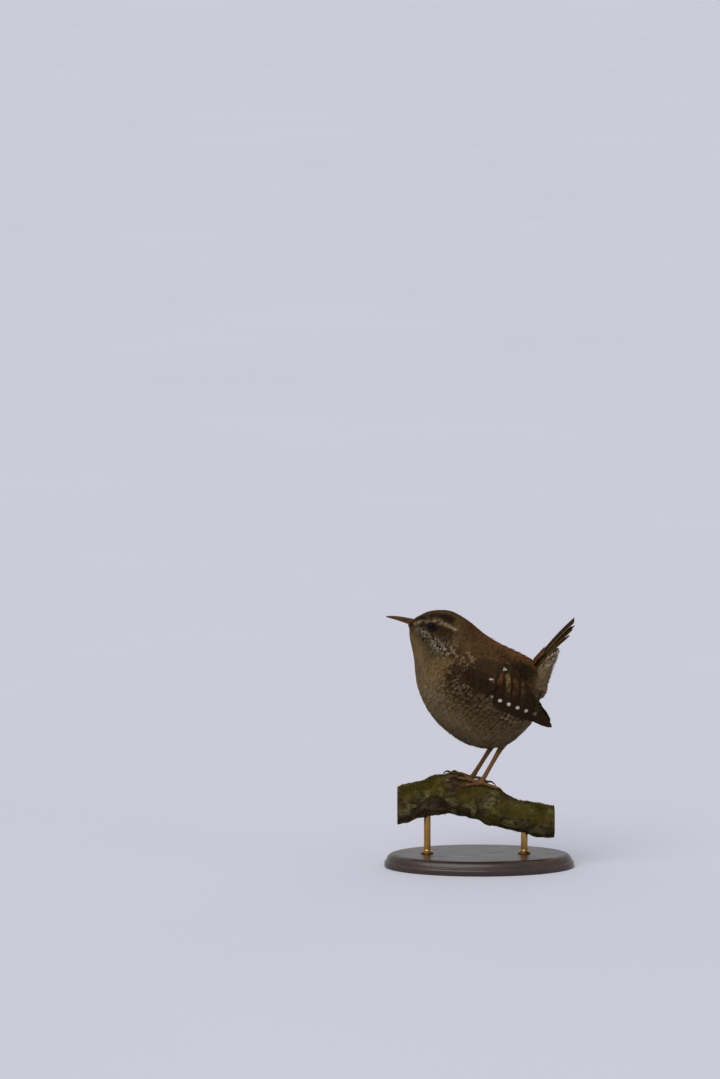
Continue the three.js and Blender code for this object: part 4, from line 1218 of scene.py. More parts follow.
# Parts of the coat by the ribs between which their feathers have their roots
COAT_PARTS = {"coat_face": (-1, 3.2), "coat_crown": (3.2, 4.6), "coat_neck": (4.6, 6.2),
              "coat_breast": (6.2, 7.6), "coat_back": (7.6, 9.2), "coat_flank": (9.2, 11.0),
              "coat_belly": (11.0, 13.0), "coat_vent": (13.0, 18)}
WISPS = 7500


def coat_depth(s):
    """Depth of the coat along the body in millimetres: thin on the face, full on the body."""
    return bpy.context.scene.wren_coat.depth / MM * read_line(s, COAT_DEPTHS)


def skin_surface():
    """The skin: the outer form drawn in by the depth of the coat."""
    outer = Surface(body_shape, -PAST_END, LAST_RIB + PAST_END)

    def inner(s, turn):
        return outer.at(s, turn, -coat_depth(s))

    return Surface(inner, -PAST_END, LAST_RIB + PAST_END)


def unwrapped(s, turn, first, last):
    """Places on an unwrap that goes once round across, and from first to last upwards."""
    return turn / (2 * np.pi) * 0.994 + 0.0015, (s - first) / (last - first) * 0.994


def fold_place(points):
    """Places u along and v across the folded wing, in its own plane."""
    span = np.array(WING_TIP) - WING_WRIST
    ax, az = span / np.linalg.norm(span)
    dx, dz = points[..., 0] - WING_WRIST[0], points[..., 2] - WING_WRIST[1]
    return dx * ax + dz * az, dz * ax - dx * az


def wing_reach(points):
    """Place along the folded wing, and how far inside its lower and its other edges points lie."""
    u, v = fold_place(points)
    below = v - read_line(u, WING_LOWER)
    above = read_line(u, WING_UPPER) - v
    outside = np.abs(points[..., 1]) < 3
    return u, np.where(outside, -9, np.minimum(below, u + 1)), np.where(outside, -9, above)


def under_wing(points):
    """True for places that the wing covers for good: all but a rim that the coat laps over in front."""
    u, below, above = wing_reach(points)
    return (below > 2.4 - 2.1 * smooth(u, 14, 24)) & (above > 4.6 - 4.3 * smooth(u, 15, 25)) & (u < 29)


def over_wing(points):
    """Extra height of the coat where it climbs from the body on to the rim of the folded wing."""
    u, below, above = wing_reach(points)
    return 2.0 * smooth(np.minimum(below, above), -5.0, 0.8) * (1 - smooth(u, 15, 27))


def eye_seat(side):
    """The face's surface point at the eye, and its outward direction from the slopes round it."""
    x, z, step = np.array(EYE["x"]), np.array(EYE["z"]), 0.3
    dx = (half_width(x + step, z) - half_width(x - step, z)) / (2 * step)
    dz = (half_width(x, z + step) - half_width(x, z - step)) / (2 * step)
    flip = np.array([1, side, 1])
    return np.array([x, half_width(x, z), z]) * flip, unit(np.array([-dx, 1.0, -dz])) * flip


def feather_size(s, a):
    """Length of body feathers in millimetres, from the tiny ones of the face to those of the belly."""
    low_down = 1 + 0.12 * smooth(a, 1.4, 2.6) * smooth(s, 6, 9)
    return read_line(s, FEATHER_LENGTHS) * low_down * bpy.context.scene.wren_coat.size


def body_coat(surface):
    """All feathers of head and body, as parts by their rib numbers."""
    rng = np.random.default_rng(11)
    coat = bpy.context.scene.wren_coat

    def weight(s, turn):
        return feather_size(s, from_back(turn)) ** -1.75

    s, turn = surface.scatter(coat.count, weight)
    turn = turn + rng.normal(0, 0.006, len(s))
    roots = surface.at(s, turn, np.zeros(len(s)))
    length = feather_size(s, from_back(turn)) * rng.uniform(0.85, 1.2, len(s))
    eye = np.array([EYE["x"], EYE["z"]])
    gap = np.hypot(roots[:, 0] - eye[0], roots[:, 2] - eye[1])
    sideways = np.abs(roots[:, 1]) > 3
    toward = (eye[0] - roots[:, 0]) / np.maximum(gap, 0.1)
    near = sideways & (gap < 6) & (toward > 0.25)
    length = np.where(near, np.minimum(length, np.maximum(gap - 1.95, 0.35)), length)
    keep = ~(sideways & (gap < 2.2)) & ~under_wing(roots)
    bill = np.hypot(roots[:, 1], (roots[:, 2] - 109.2)) < 1.5
    keep &= ~(bill & (roots[:, 0] < -29.5))
    keep &= s < LAST_RIB - 0.1
    return s[keep], turn[keep], length[keep]


def add_coat(batch, surface, s, turn, length, form, rng, low=-0.15, high=None, width=0.40, yaw=0.10):
    """Lays feathers on the body and puts them in a batch.

    Marks and lift over the wing are read where a feather's outer half comes to lie.
    """
    n = len(s)
    ahead = s + 0.8 * length / np.linalg.norm(surface.read(surface.along, s, turn), axis=-1)
    roots, tips = surface.at(s, turn, 0 * s), surface.at(ahead, turn, 0 * s)
    marks, fleck = markings(tips, ahead, turn)
    top = coat_depth(s) * rng.uniform(0.85, 1.15, n) if high is None else high
    laid = lay(over_surface(surface, s, turn, 0.6), form, rng.normal(0, yaw, n), length,
               length * width * rng.uniform(0.8, 1.2, n), low + 0.8 * over_wing(roots),
               top + over_wing(tips), rng)
    hoary = 0.3 * fleck * (rng.random(n) < 0.2) * (1 - smooth(s, 5, 6.5))
    put(batch, form, laid, length, marks, unwrapped(s, turn, surface.first, surface.last),
        start=surface.read(surface.run, s, turn), fleck=fleck, spot=hoary)


# Wing and tail feathers

def web_outline(t, point):
    """Half width of a flight feather: quick to full width, then round or pointed at the tip."""
    swell = 0.35 + 0.65 * smooth(t, 0, 0.3)
    end = np.clip((t - 0.62) / 0.38, 0, 1)
    return swell * np.sqrt(np.maximum(1 - (0.985 * end) ** point, 0))


def flight_vane(at, root, tip, width, lift, lean, bow, thick, cell, rng, rows=16, cols=8, point=2.2,
                shaft=-0.25):
    """One flight feather over a sheet: a thin closed vane with a raised shaft.

    Along t it follows the line from root to tip, bowed sideways as a parabola. Across k from -1 to 1
    it is arched, leans so that its outer edge lies over its neighbour, and is cut into barbs at the rim.
    Gives its points and faces, then for each point vane, place on the unwrap, and run from the root.
    """
    root, tip = np.array(root, float), np.array(tip, float)
    length = np.linalg.norm(tip - root)
    way = (tip - root) / length
    side = np.array([-way[1], way[0]])
    t = 1 - (1 - np.linspace(0, 1, rows)) ** 1.25
    k = np.linspace(-1, 1, cols + 1)
    k = np.sign(k) * np.abs(k) ** 0.9
    t, k = np.meshgrid(t, k, indexing="ij")
    half = width / 2 * web_outline(t, point)
    rim = (np.abs(k) > 0.99) * (t > 0.12)
    half = half * (1 + rim * rng.normal(0, 0.03, t.shape))
    sideways = bow * 4 * t * (1 - t) + half * k
    p = root[0] + way[0] * t * length + side[0] * sideways
    q = root[1] + way[1] * t * length + side[1] * sideways
    low = lift[0] + (lift[1] - lift[0]) * t + lean * (1 - k) / 2 + 0.10 * (1 - k ** 2)
    ridge = np.exp(-((k - shaft) / 0.12) ** 2) * (1 - 0.7 * t)
    deep = thick * (0.45 + 0.55 * (1 - k ** 2)) * (1 - 0.55 * t) + thick * 0.9 * ridge
    top, under = at(p, q, low + deep), at(p, q, low)
    n, m = t.shape
    sheet = grid_faces(n, m, wrap=False)
    edge = np.concatenate([np.arange(m), np.arange(1, n) * m + m - 1, (n - 1) * m + np.arange(m - 2, -1, -1),
                           np.arange(n - 2, 0, -1) * m])
    after = np.roll(edge, -1)
    walls = np.stack([edge + n * m, after + n * m, after, edge], -1)
    points = np.concatenate([top.reshape(-1, 3), under.reshape(-1, 3)])
    faces = np.concatenate([sheet, sheet[:, ::-1] + n * m, walls])
    vane = np.stack([k, t, np.full(t.shape, rng.random())], -1).reshape(-1, 3)
    u = (cell[0] + 0.06 + 0.88 * (k.ravel() + 1) / 2) * cell[2]
    v = (cell[1] + 0.04 + 0.92 * t.ravel()) * cell[3]
    unwrap = np.stack([u, v], -1)
    return points, faces, np.tile(vane, (2, 1)), np.tile(unwrap, (2, 1)), np.tile(t.ravel() * length, 2)


def cell_of(index, total, columns):
    """Column, row and size of a bake cell in an even table."""
    rows = math.ceil(total / columns)
    return index % columns, index // columns, 1 / columns, 1 / rows


# Shares of dark over all and of bars for each row of the wing
WING_LOOKS = {
    "primary": (0.55, 0.35),
    "secondary": (0.0, 1.0),
    "tertial": (0.1, 0.9),
    "primary_covert": (0.6, 0.3),
    "greater_covert": (0.1, 0.85),
    "median_covert": (0.3, 0.6),
    "alula": (0.7, 0.3),
}
# Strength of the dot at the tip of a covert
DOTTED_COVERTS = {("median_covert", 4): 0.62, ("median_covert", 8): 0.5}
# Strength of the row of dots along the wing
DOT_STRENGTHS = [(19.0, 0), (19.2, 0.3), (23, 0.35), (25, 0.78), (36, 0.7), (40, 0.6), (41, 0.14),
                 (44.4, 0.1), (45, 0)]
# Where the first bar and the first dot lie on the wing, and how the bars slant and the dots climb
FIRST_BAR = (20.9, 7.2)
BAR_SLANT = 0.5
FIRST_DOT = (21.4, -1.6)
DOT_SLOPE = 0.135


def wing_marks(name, points, coat):
    """Marks, run of the bars and places of the dots on one feather, worked out over the folded wing.

    Bars lie in a band across the middle of the wing and fade to its tip. Dots follow one line.
    """
    u, v = fold_place(points)
    dark, bars = WING_LOOKS[name]
    band = smooth(u, 17.0, 19.5) * (1 - smooth(u, 24, 36)) * smooth(v, 3.6, 5.4) * (1 - smooth(v, 9.6, 11.5))
    brown = 0.1 * (1 - smooth(u, 15, 21)) * smooth(v, 3, 8)
    dark = dark * (1 - band)
    run = u - FIRST_BAR[0] + BAR_SLANT * (v - FIRST_BAR[1])
    marks = np.stack([0 * u, brown, dark + 0 * u, np.clip(bars * band + 0.08, 0, 0.9)], -1)
    half = coat.dot_spacing / MM / 2
    side = v - FIRST_DOT[1] - DOT_SLOPE * (u - FIRST_DOT[0])
    dots = np.stack([u - FIRST_DOT[0] + half, side, read_line(u, DOT_STRENGTHS)], -1)
    return marks, run, dots


def wing_batch(side):
    """All the larger feathers of one folded wing."""
    at = wing_place(side)
    rng = np.random.default_rng(21 + side)
    coat = bpy.context.scene.wren_coat
    batch = Batch()
    total = sum(row["count"] for row in WING_ROWS.values())
    for name, row in WING_ROWS.items():
        for i in range(row["count"]):
            share = np.array(i / (row["count"] - 1))
            root, tip = catmull(row["roots"], share), catmull(row["tips"], share)
            height = np.interp(share, [0, 1], row["lift"]) - WING_DROP
            points, faces, vane, unwrap, _ = flight_vane(
                at, root, tip, np.interp(share, [0, 1], row["width"]), (height - 0.3, height),
                row["lean"] * 0.6, row["bow"], coat.vane / MM, cell_of(len(batch.points), total, 10), rng)
            marks, run, dots = wing_marks(name, points, coat)
            trim = np.stack([run, DOTTED_COVERTS.get((name, i), 0.0) + 0 * run, 0 * run], -1)
            batch.add(points, faces, vane=vane, marks=marks, trim=trim, dots=dots, OFBake=unwrap)
    return batch


def tail_batch():
    """Twelve tail feathers in a narrow fan, the middle pair on top."""
    rng = np.random.default_rng(31)
    thick = bpy.context.scene.wren_coat.vane / MM
    batch = Batch()
    for pair, length in enumerate(RECTRICES):
        for side in (LEFT, RIGHT):
            turn = math.radians(FAN_FIRST + FAN_STEP * pair)
            start = (-3.0, 0.35 + 0.25 * pair)
            reach = length - start[0]
            height = -TAIL_STEP * (pair + (0.4 if side < 0 else 0)) * 0.7 + 0.1
            hang = -TAIL_HANG[pair] - (0.1 if side < 0 else 0)
            tip = (start[0] + reach * math.cos(turn), side * (start[1] + reach * math.sin(turn)))
            points, faces, vane, unwrap, run = flight_vane(
                tail_place, (start[0], side * start[1]), tip, 4.6 - 0.3 * pair, (height, hang), 0.0, 0.0,
                thick * 0.9, cell_of(len(batch.points), 12, 6), rng, rows=20, point=2.6, shaft=-0.2 * side)
            k = vane[:, 0] * side
            edge = smooth(k, 0.45, 0.85) * PALE_EDGES[pair]
            marks = np.stack([0.95 + 0 * k, edge, 0.45 + 0 * k, 0.7 + 0 * k], -1)
            trim = np.stack([run - 0.5 * np.abs(k), 0 * k, 0 * k], -1)
            batch.add(points, faces, vane=vane, marks=marks, trim=trim, dots=0 * trim, OFBake=unwrap)
    return batch


# Operators, one for each piece or group of like pieces

# Where skin counts as lying on a feather: off the shaft, with no root and no tip, and an even number
PLAIN_VANE = [0.4, 0.55, 0.5]


class WREN_OT_stage(Operator):
    """Lays the floor and sets the lights and the camera"""
    bl_idname = "wren.stage"
    bl_label = "Stage"

    def execute(self, context):
        stage = context.scene.wren_stage
        size = 60.0
        mesh = bpy.data.meshes.new("floor")
        mesh.from_pydata([(-size, -size, 0), (size, -size, 0), (size, size, 0), (-size, size, 0)], [],
                         [(0, 1, 2, 3)])
        mesh.materials.append(finish("studio_floor"))
        floor = bpy.data.objects.new("floor", mesh)
        context.scene.collection.objects.link(floor)
        self.lights(context, stage)
        self.camera(context, stage)
        context.scene.view_settings.view_transform = "Standard"
        return {"FINISHED"}

    def lights(self, context, stage):
        """An even sky and a broad, soft key light from above, before and to the left of the bird."""
        world = bpy.data.worlds.new("sky")
        world.use_nodes = True
        sky = world.node_tree.nodes["Background"]
        sky.inputs["Color"].default_value = (0.95, 0.96, 1.0, 1.0)
        sky.inputs["Strength"].default_value = stage.sky
        context.scene.world = world
        light = bpy.data.lights.new("key", "SUN")
        light.energy = stage.key
        light.angle = stage.softness
        lamp = bpy.data.objects.new("key", light)
        lamp.rotation_euler = (math.radians(38), 0, math.radians(-28))
        context.scene.collection.objects.link(lamp)

    def camera(self, context, stage):
        """A long lens at the photograph's angle, aimed at the middle of its frame."""
        data = bpy.data.cameras.new("camera")
        data.lens = stage.lens
        data.sensor_width = 36
        data.clip_end = 200
        camera = bpy.data.objects.new("camera", data)
        way = np.array([0, math.cos(stage.elevation), -math.sin(stage.elevation)])
        camera.location = np.array(stage.target[:]) - way * stage.distance
        camera.rotation_euler = (math.pi / 2 - stage.elevation, 0, 0)
        context.scene.collection.objects.link(camera)
        context.scene.camera = camera


class WREN_OT_skin(Operator):
    """Makes the one skin of head, neck and body"""
    bl_idname = "wren.skin"
    bl_label = "Skin"

    def execute(self, context):
        surface = skin_surface()
        grid = np.meshgrid(np.linspace(surface.first, surface.last, 150), full_turn(120), indexing="ij")
        points, faces = closed_loft(surface.at(*grid, 0 * grid[0]))
        s = np.append(grid[0].ravel(), [surface.first, surface.last])
        turn = np.append(grid[1].ravel(), [0, 0])
        marks, fleck = markings(points, s, turn)
        run = surface.read(surface.run, s, turn)
        trim = np.stack([run, 0.5 * fleck, 0 * run], -1)
        unwrap = np.stack([turn / (2 * np.pi), (s - surface.first) / (surface.last - surface.first)], -1)
        vane = np.tile(PLAIN_VANE, (len(points), 1))
        make_piece("skin", points, faces, "body_feathers", "body_plumage",
                   {"marks": marks, "trim": trim, "vane": vane, "OFBake": unwrap}, crease=80,
                   replaces=("head", "neck", "torso"))
        return {"FINISHED"}


class WREN_OT_coat(Operator):
    """Lays the small feathers of head and body"""
    bl_idname = "wren.coat"
    bl_label = "Coat"

    def execute(self, context):
        surface = skin_surface()
        rng = np.random.default_rng(5)
        s, turn, length = body_coat(surface)
        for name, (low, high) in COAT_PARTS.items():
            here = (s >= low) & (s < high)
            form = FINE_FEATHER if name == "coat_face" else BROAD_FEATHER
            batch = Batch()
            add_coat(batch, surface, s[here], turn[here], length[here], form, rng)
            on_head = name in ("coat_face", "coat_crown")
            batch.piece(name, "body_feathers", "head_plumage" if on_head else "body_plumage")
        self.wisps(surface, rng)
        return {"FINISHED"}

    def wisps(self, surface, rng):
        """Loose barbs that stand a little off the belly, flanks and rump."""
        s, turn = surface.scatter(WISPS, lambda s, turn: smooth(s, 7.0, 10) * (1 - 0.7 * np.cos(turn)))
        keep = ~under_wing(surface.at(s, turn, 0 * s)) & (s < LAST_RIB - 0.1)
        s, turn = s[keep], turn[keep]
        length = rng.uniform(3.0, 5.5, len(s))
        batch = Batch()
        add_coat(batch, surface, s, turn, length, WISP, rng, low=0.4, high=rng.uniform(0.9, 1.7, len(s)),
                 width=0.045, yaw=0.22)
        batch.piece("coat_wisps", "body_feathers", "body_plumage")


class WREN_OT_eyes(Operator):
    """Makes both eyes and the lids round them"""
    bl_idname = "wren.eyes"
    bl_label = "Eyes"

    def execute(self, context):
        for name, side in SIDES.items():
            place, way = eye_seat(side)
            centre = place + way * (EYE["proud"] - EYE["radius"])
            forward = unit(np.array([-1.0, 0, 0.1]) - way * np.dot(way, [-1.0, 0, 0.1]))
            up = np.cross(way, forward)
            self.ball(name, centre, way, forward, up)
            self.lids(name, centre, way, forward, up)
        return {"FINISHED"}

    def ball(self, name, centre, way, forward, up):
        """A ball in rings round its outward axis, with a slight bulge for the cornea."""
        rows, cols = 40, 48
        angle = np.linspace(0.02, np.pi - 0.02, rows)
        turn = full_turn(cols)
        radius = EYE["radius"] * (1 + 0.05 * np.exp(-(angle / 0.45) ** 2))
        axis = (radius * np.cos(angle))[:, None, None] * way
        round_it = np.cos(turn)[:, None] * forward + np.sin(turn)[:, None] * up
        rings = centre + axis + (radius * np.sin(angle))[:, None, None] * round_it[None]
        iris = np.exp(-((angle - 0.62) / 0.16) ** 2)
        tint = np.append(np.repeat(iris, cols), [0, 0])
        make_piece(f"eye_ball_{name}", *closed_loft(rings), "eye_gloss", "eye", {"tint": tint},
                   crease=80, replaces=(f"eye_{name}",))

    def lids(self, name, centre, way, forward, up):
        """A rolled rim swept round the ball: its section rises from the ball and sinks to the face.

        The opening is an oval with drawn corners: its radius grows with the cosine of twice the turn.
        """
        turn = full_turn(72)
        corner = 1 + 0.07 * np.cos(2 * turn) + 0.03 * np.cos(4 * turn)
        crinkle = 1 + 0.02 * np.sin(18 * turn)
        section = np.array([(1.60, 1.16), (1.66, 1.32), (1.74, 1.41), (1.86, 1.42), (1.98, 1.34),
                            (2.12, 1.16), (2.28, 0.86), (2.34, 0.40), (2.1, 0.2), (1.6, 0.7)])
        radius = section[:, 0][:, None] * (corner * crinkle)[None]
        round_it = np.cos(turn)[:, None] * forward + np.sin(turn)[:, None] * up
        rings = centre + section[:, 1][:, None, None] * way + radius[..., None] * round_it[None]
        rings = rings.transpose(1, 0, 2)
        n, m = rings.shape[:2]
        j = np.arange(m)
        after = (j + 1) % m
        wrap = np.stack([(n - 1) * m + j, (n - 1) * m + after, after, j], -1)
        faces = np.concatenate([grid_faces(n, m), wrap])
        make_piece(f"lids_{name}", rings.reshape(-1, 3), faces, "lid_skin", "head_plumage")


class WREN_OT_bill(Operator):
    """Makes the upper and lower bill"""
    bl_idname = "wren.bill"
    bl_label = "Bill"

    def execute(self, context):
        for name, upper in (("bill_upper", True), ("bill_lower", False)):
            rings, tint = self.half(upper)
            tint = np.append(tint.ravel(), [tint[0].mean(), tint[-1].mean()])
            make_piece(f"{name}_horn", *closed_loft(rings), "satin_horn", "bill_horn", {"tint": tint},
                       crease=55, replaces=(name,))
        return {"FINISHED"}

    def half(self, upper):
        """Rings of one half along its length t.

        The roof is half a superellipse over the flat mouth side, keeled at the culmen. Depth and width
        taper as a power of the length left, and the nostril is a bell-shaped dent in each side.
        """
        t = np.linspace(0, 1, 60)[:, None]
        turn = np.linspace(0, np.pi, 25)[None]
        x = BILL_ROOT[0] + (BILL_TIP[0] - BILL_ROOT[0]) * t
        z = BILL_ROOT[1] + (BILL_TIP[1] - BILL_ROOT[1]) * t + 0.22 * np.sin(np.pi * t) - 0.35 * t ** 4
        taper = (1 - t) ** 0.72
        depth = (0.58 if upper else 0.46) * BILL_DEPTH * 1.2 * taper + 0.09
        width = BILL_WIDTH / 2 * taper * (1 if upper else 0.92) + 0.08
        way = 1 if upper else -1
        line = z + way * 0.05
        arch = np.sin(turn) ** 0.9 + 0.10 * np.exp(-((turn - np.pi / 2) / 0.22) ** 2)
        y = np.cos(turn) * width
        roof = line + way * depth * arch
        if upper:
            dent = np.exp(-((x - NOSTRIL[0]) / 0.75) ** 2 - ((roof - NOSTRIL[2]) / 0.28) ** 2)
            y = y * (1 - 0.32 * dent)
        else:
            dent = np.zeros_like(y)
        floor_turn = np.linspace(np.pi, 0, 9)[1:-1][None]
        floor_y = np.cos(floor_turn) * width * 0.98
        floor_z = line + way * 0.12 * np.sin(floor_turn) * taper
        y = np.concatenate([y, floor_y], 1)
        ring = np.stack([x + 0 * y, y, np.concatenate([roof, floor_z], 1)], -1)
        pale = 0.4 * (1 - np.sin(turn)) if upper else 0.6 + 0 * turn
        # The nostril's dent is made darker: painted shade in its hollow.
        tint = pale * (1 - 0.55 * t) - 0.6 * dent
        tint = np.concatenate([tint, np.zeros((len(t), 7))], 1)
        return ring, tint


class WREN_OT_wings(Operator):
    """Makes the flight feathers and coverts of both folded wings"""
    bl_idname = "wren.wings"
    bl_label = "Wings"

    def execute(self, context):
        for name, side in SIDES.items():
            wing_batch(side).piece(f"wing_vanes_{name}", "barred_wing", "wing_feathers", crease=50,
                                   replaces=(f"wing_{name}",))
            self.lesser_coverts(name, side)
        return {"FINISHED"}

    def lesser_coverts(self, name, side):
        """Small round feathers in rows over the shoulder, laid from the hindmost forward."""
        rng = np.random.default_rng(41 + side)
        n = 190
        across, up = even_pairs(n)
        order = np.argsort(-across)
        across, up = across[order], up[order]
        u, v = -1.5 + 11.5 * across, -3.6 + 12.8 * up
        length = rng.uniform(3.4, 4.4, n)
        low = read_line(u, [(-2, 1.7), (10, 1.0)]) - WING_DROP
        laid = lay(over_sheet(wing_place(side), u, v), BROAD_FEATHER, rng.normal(0, 0.08, n), length,
                   length * 0.62, low, low + rng.uniform(0.75, 1.0, n), rng)
        upper = smooth(v, 1.5, 6.5)
        marks = np.tile([0.6, 0.0, 0.0, 0.1], (n, 1))
        # The lower rows are darker than the upper ones: painted shade of the band below the scapulars, over
        # the coverts' own dark brown.
        marks[:, 2] = np.clip(0.92 - 0.36 * upper + 0.1 * rng.uniform(-1, 1, n), 0, 1)
        batch = Batch()
        put(batch, BROAD_FEATHER, laid, length, marks, (0.02 + 0.96 * across, 0.02 + 0.96 * up),
            fleck=0.05 + 0.5 * upper)
        batch.piece(f"shoulder_{name}", "body_feathers", "wing_feathers")


class WREN_OT_tail(Operator):
    """Makes the tail and the feathers over and under its base"""
    bl_idname = "wren.tail"
    bl_label = "Tail"

    def execute(self, context):
        tail_batch().piece("tail_vanes", "barred_tail", "tail_feathers", crease=50, replaces=("tail",))
        self.over()
        self.under()
        return {"FINISHED"}

    def over(self):
        """Lax rufous feathers over the tail's base, in rows from the root."""
        rng = np.random.default_rng(51)
        n = 90
        a, b = even_pairs(n)
        p, q = -4.0 + 7.5 * a, (b - 0.5) * 8.4
        length = rng.uniform(4.8, 6.6, n) * (1 - 0.05 * np.abs(q))
        laid = lay(over_sheet(tail_place, p, q), BROAD_FEATHER, q * -0.02 + rng.normal(0, 0.07, n), length,
                   length * 0.42, read_line(p, [(-4, 1.1), (3.5, 0.5)]),
                   read_line(p, [(-4, 1.5), (3.5, 0.75)]), rng)
        batch = Batch()
        put(batch, BROAD_FEATHER, laid, length, [0.95, 0.0, 0.1, 0.35], ((q + 5) / 10, (p + 5) / 10),
            start=p, fleck=0.05)
        batch.piece("tail_coverts_over", "body_feathers", "tail_feathers", replaces=("uppertail_coverts",))

    def under(self):
        """The fluffy cone under the tail: a core, soft feathers over it and white tips."""
        core = Surface(vent_shape, 0.0, 1.0, rows=60, cols=96)
        grid = np.meshgrid(np.linspace(0, 1, 30), full_turn(48), indexing="ij")
        points, faces = closed_loft(core.at(*grid, 0 * grid[0] - 0.9))
        n = len(points)
        trim = np.stack([points[:, 2], np.zeros(n), np.zeros(n)], -1)
        unwrap = np.stack([np.append(grid[1].ravel() / (2 * np.pi), [0, 0]),
                           np.append(grid[0].ravel(), [0, 1])], -1)
        make_piece("vent_core", points, faces, "body_feathers", "body_plumage",
                   {"vane": np.tile(PLAIN_VANE, (n, 1)), "marks": np.tile([0.15, 0.05, 0.35, 0.6], (n, 1)),
                    "trim": trim, "OFBake": unwrap}, crease=80, replaces=("undertail_coverts",))
        batch = Batch()
        self.vent_row(batch, core, 520, BROAD_FEATHER, (3.8, 5.6), 0.44, (-0.9, -0.5), (0.15, 0.6), 0.12, 61)
        self.vent_row(batch, core, 900, WISP, (3.0, 5.4), 0.06, (-0.2, 0.2), (0.5, 1.5), 0.3, 62)
        self.streaks(batch)
        self.brush(batch)
        batch.piece("vent_coat", "body_feathers", "body_plumage")

    def streaks(self, batch):
        """The longest feathers under the tail, lying along it, with white ends."""
        rng = np.random.default_rng(63)
        n = 260
        a, b = even_pairs(n)
        p, q = -4.5 + 11.0 * a, (b - 0.5) * 7.6
        length = rng.uniform(4.0, 6.0, n)
        depth = 1.5 + rng.uniform(0, 2.4, n)
        laid = lay(over_sheet(tail_place, p, q), BROAD_FEATHER, rng.normal(0, 0.1, n), length, length * 0.25,
                   -depth, -depth - 0.4, rng, droop=0.3, ragged=0.02)
        white = 0.9 * (rng.random(n) < 0.7)
        put(batch, BROAD_FEATHER, laid, length, [0.3, 0.46, 0.0, 0.24], unwrapped(p, q / 2 + 3, -5.0, 9.0),
            fleck=0.4, spot=white)

    def brush(self, batch):
        """Soft feathers that run up from the belly over the body's end, which bulges as a paraboloid."""
        rng = np.random.default_rng(64)
        n = 190
        middle, up, reach, half = rib_at(np.array(float(LAST_RIB)))
        ahead = np.array([up[2], 0, -up[0]])
        a, b = even_pairs(n)
        p, q = -6.0 + 8.5 * a, (b - 0.5) * 7.2
        length = rng.uniform(3.2, 4.8, n)

        def place(x, y, h):
            rise, out = p[:, None] + x, q[:, None] + y
            bulge = VENT_CAP * (1 - (rise / reach) ** 2 * 0.55 - (out / half) ** 2 * 0.7)
            spot = middle + up * rise[..., None] + ahead * (bulge + h)[..., None]
            spot[..., 1] += out
            return spot

        laid = lay(place, BROAD_FEATHER, rng.normal(0, 0.16, n), length, length * 0.42, np.full(n, -0.7),
                   rng.uniform(0.2, 0.9, n), rng)
        put(batch, BROAD_FEATHER, laid, length, [0.14, 0.3, 0.16, 0.2],
            unwrapped(p / 2 + 4, q / 2 + 3, 0.0, 9.0), start=p, fleck=0.3)

    def vent_row(self, batch, core, count, form, size, width, low, high, yaw, seed):
        """Feathers on the core, whiter towards the tail."""
        rng = np.random.default_rng(seed)
        s, turn = core.scatter(count, lambda s, turn: 1 + 0 * s)
        keep = s < 0.86
        s, turn = s[keep], turn[keep]
        n = len(s)
        length = rng.uniform(*size, n)
        laid = lay(over_surface(core, s, turn, 1.0), form, rng.normal(0, yaw, n), length, length * width,
                   rng.uniform(*low, n), rng.uniform(*high, n), rng)
        marks = np.tile([0.38, 0.5, 0.0, 0.3], (n, 1))
        marks[:, 1] += 0.15 * s
        spot = 0.85 * smooth(s, 0.3, 0.5) * (rng.random(n) < 0.5)
        put(batch, form, laid, length, marks, unwrapped(s, turn, 0.0, 1.0), start=s * 18, fleck=0.4,
            spot=spot)


# Radius of the sock along the shank, in millimetres: up from the ankle, then down
SOCK_RADII = [(-3.6, 0.85), (-2.2, 0.95), (0.5, 1.5), (3, 1.9), (6, 2.0)]
# Swell of the shank from the foot at 0 to the ankle at 1
SHANK_SWELL = [(0, 1.12), (0.06, 1.0), (0.2, 0.88), (0.5, 0.84), (0.85, 0.98), (1, 1.18), (1.12, 1.1)]
SCUTES = 8.0


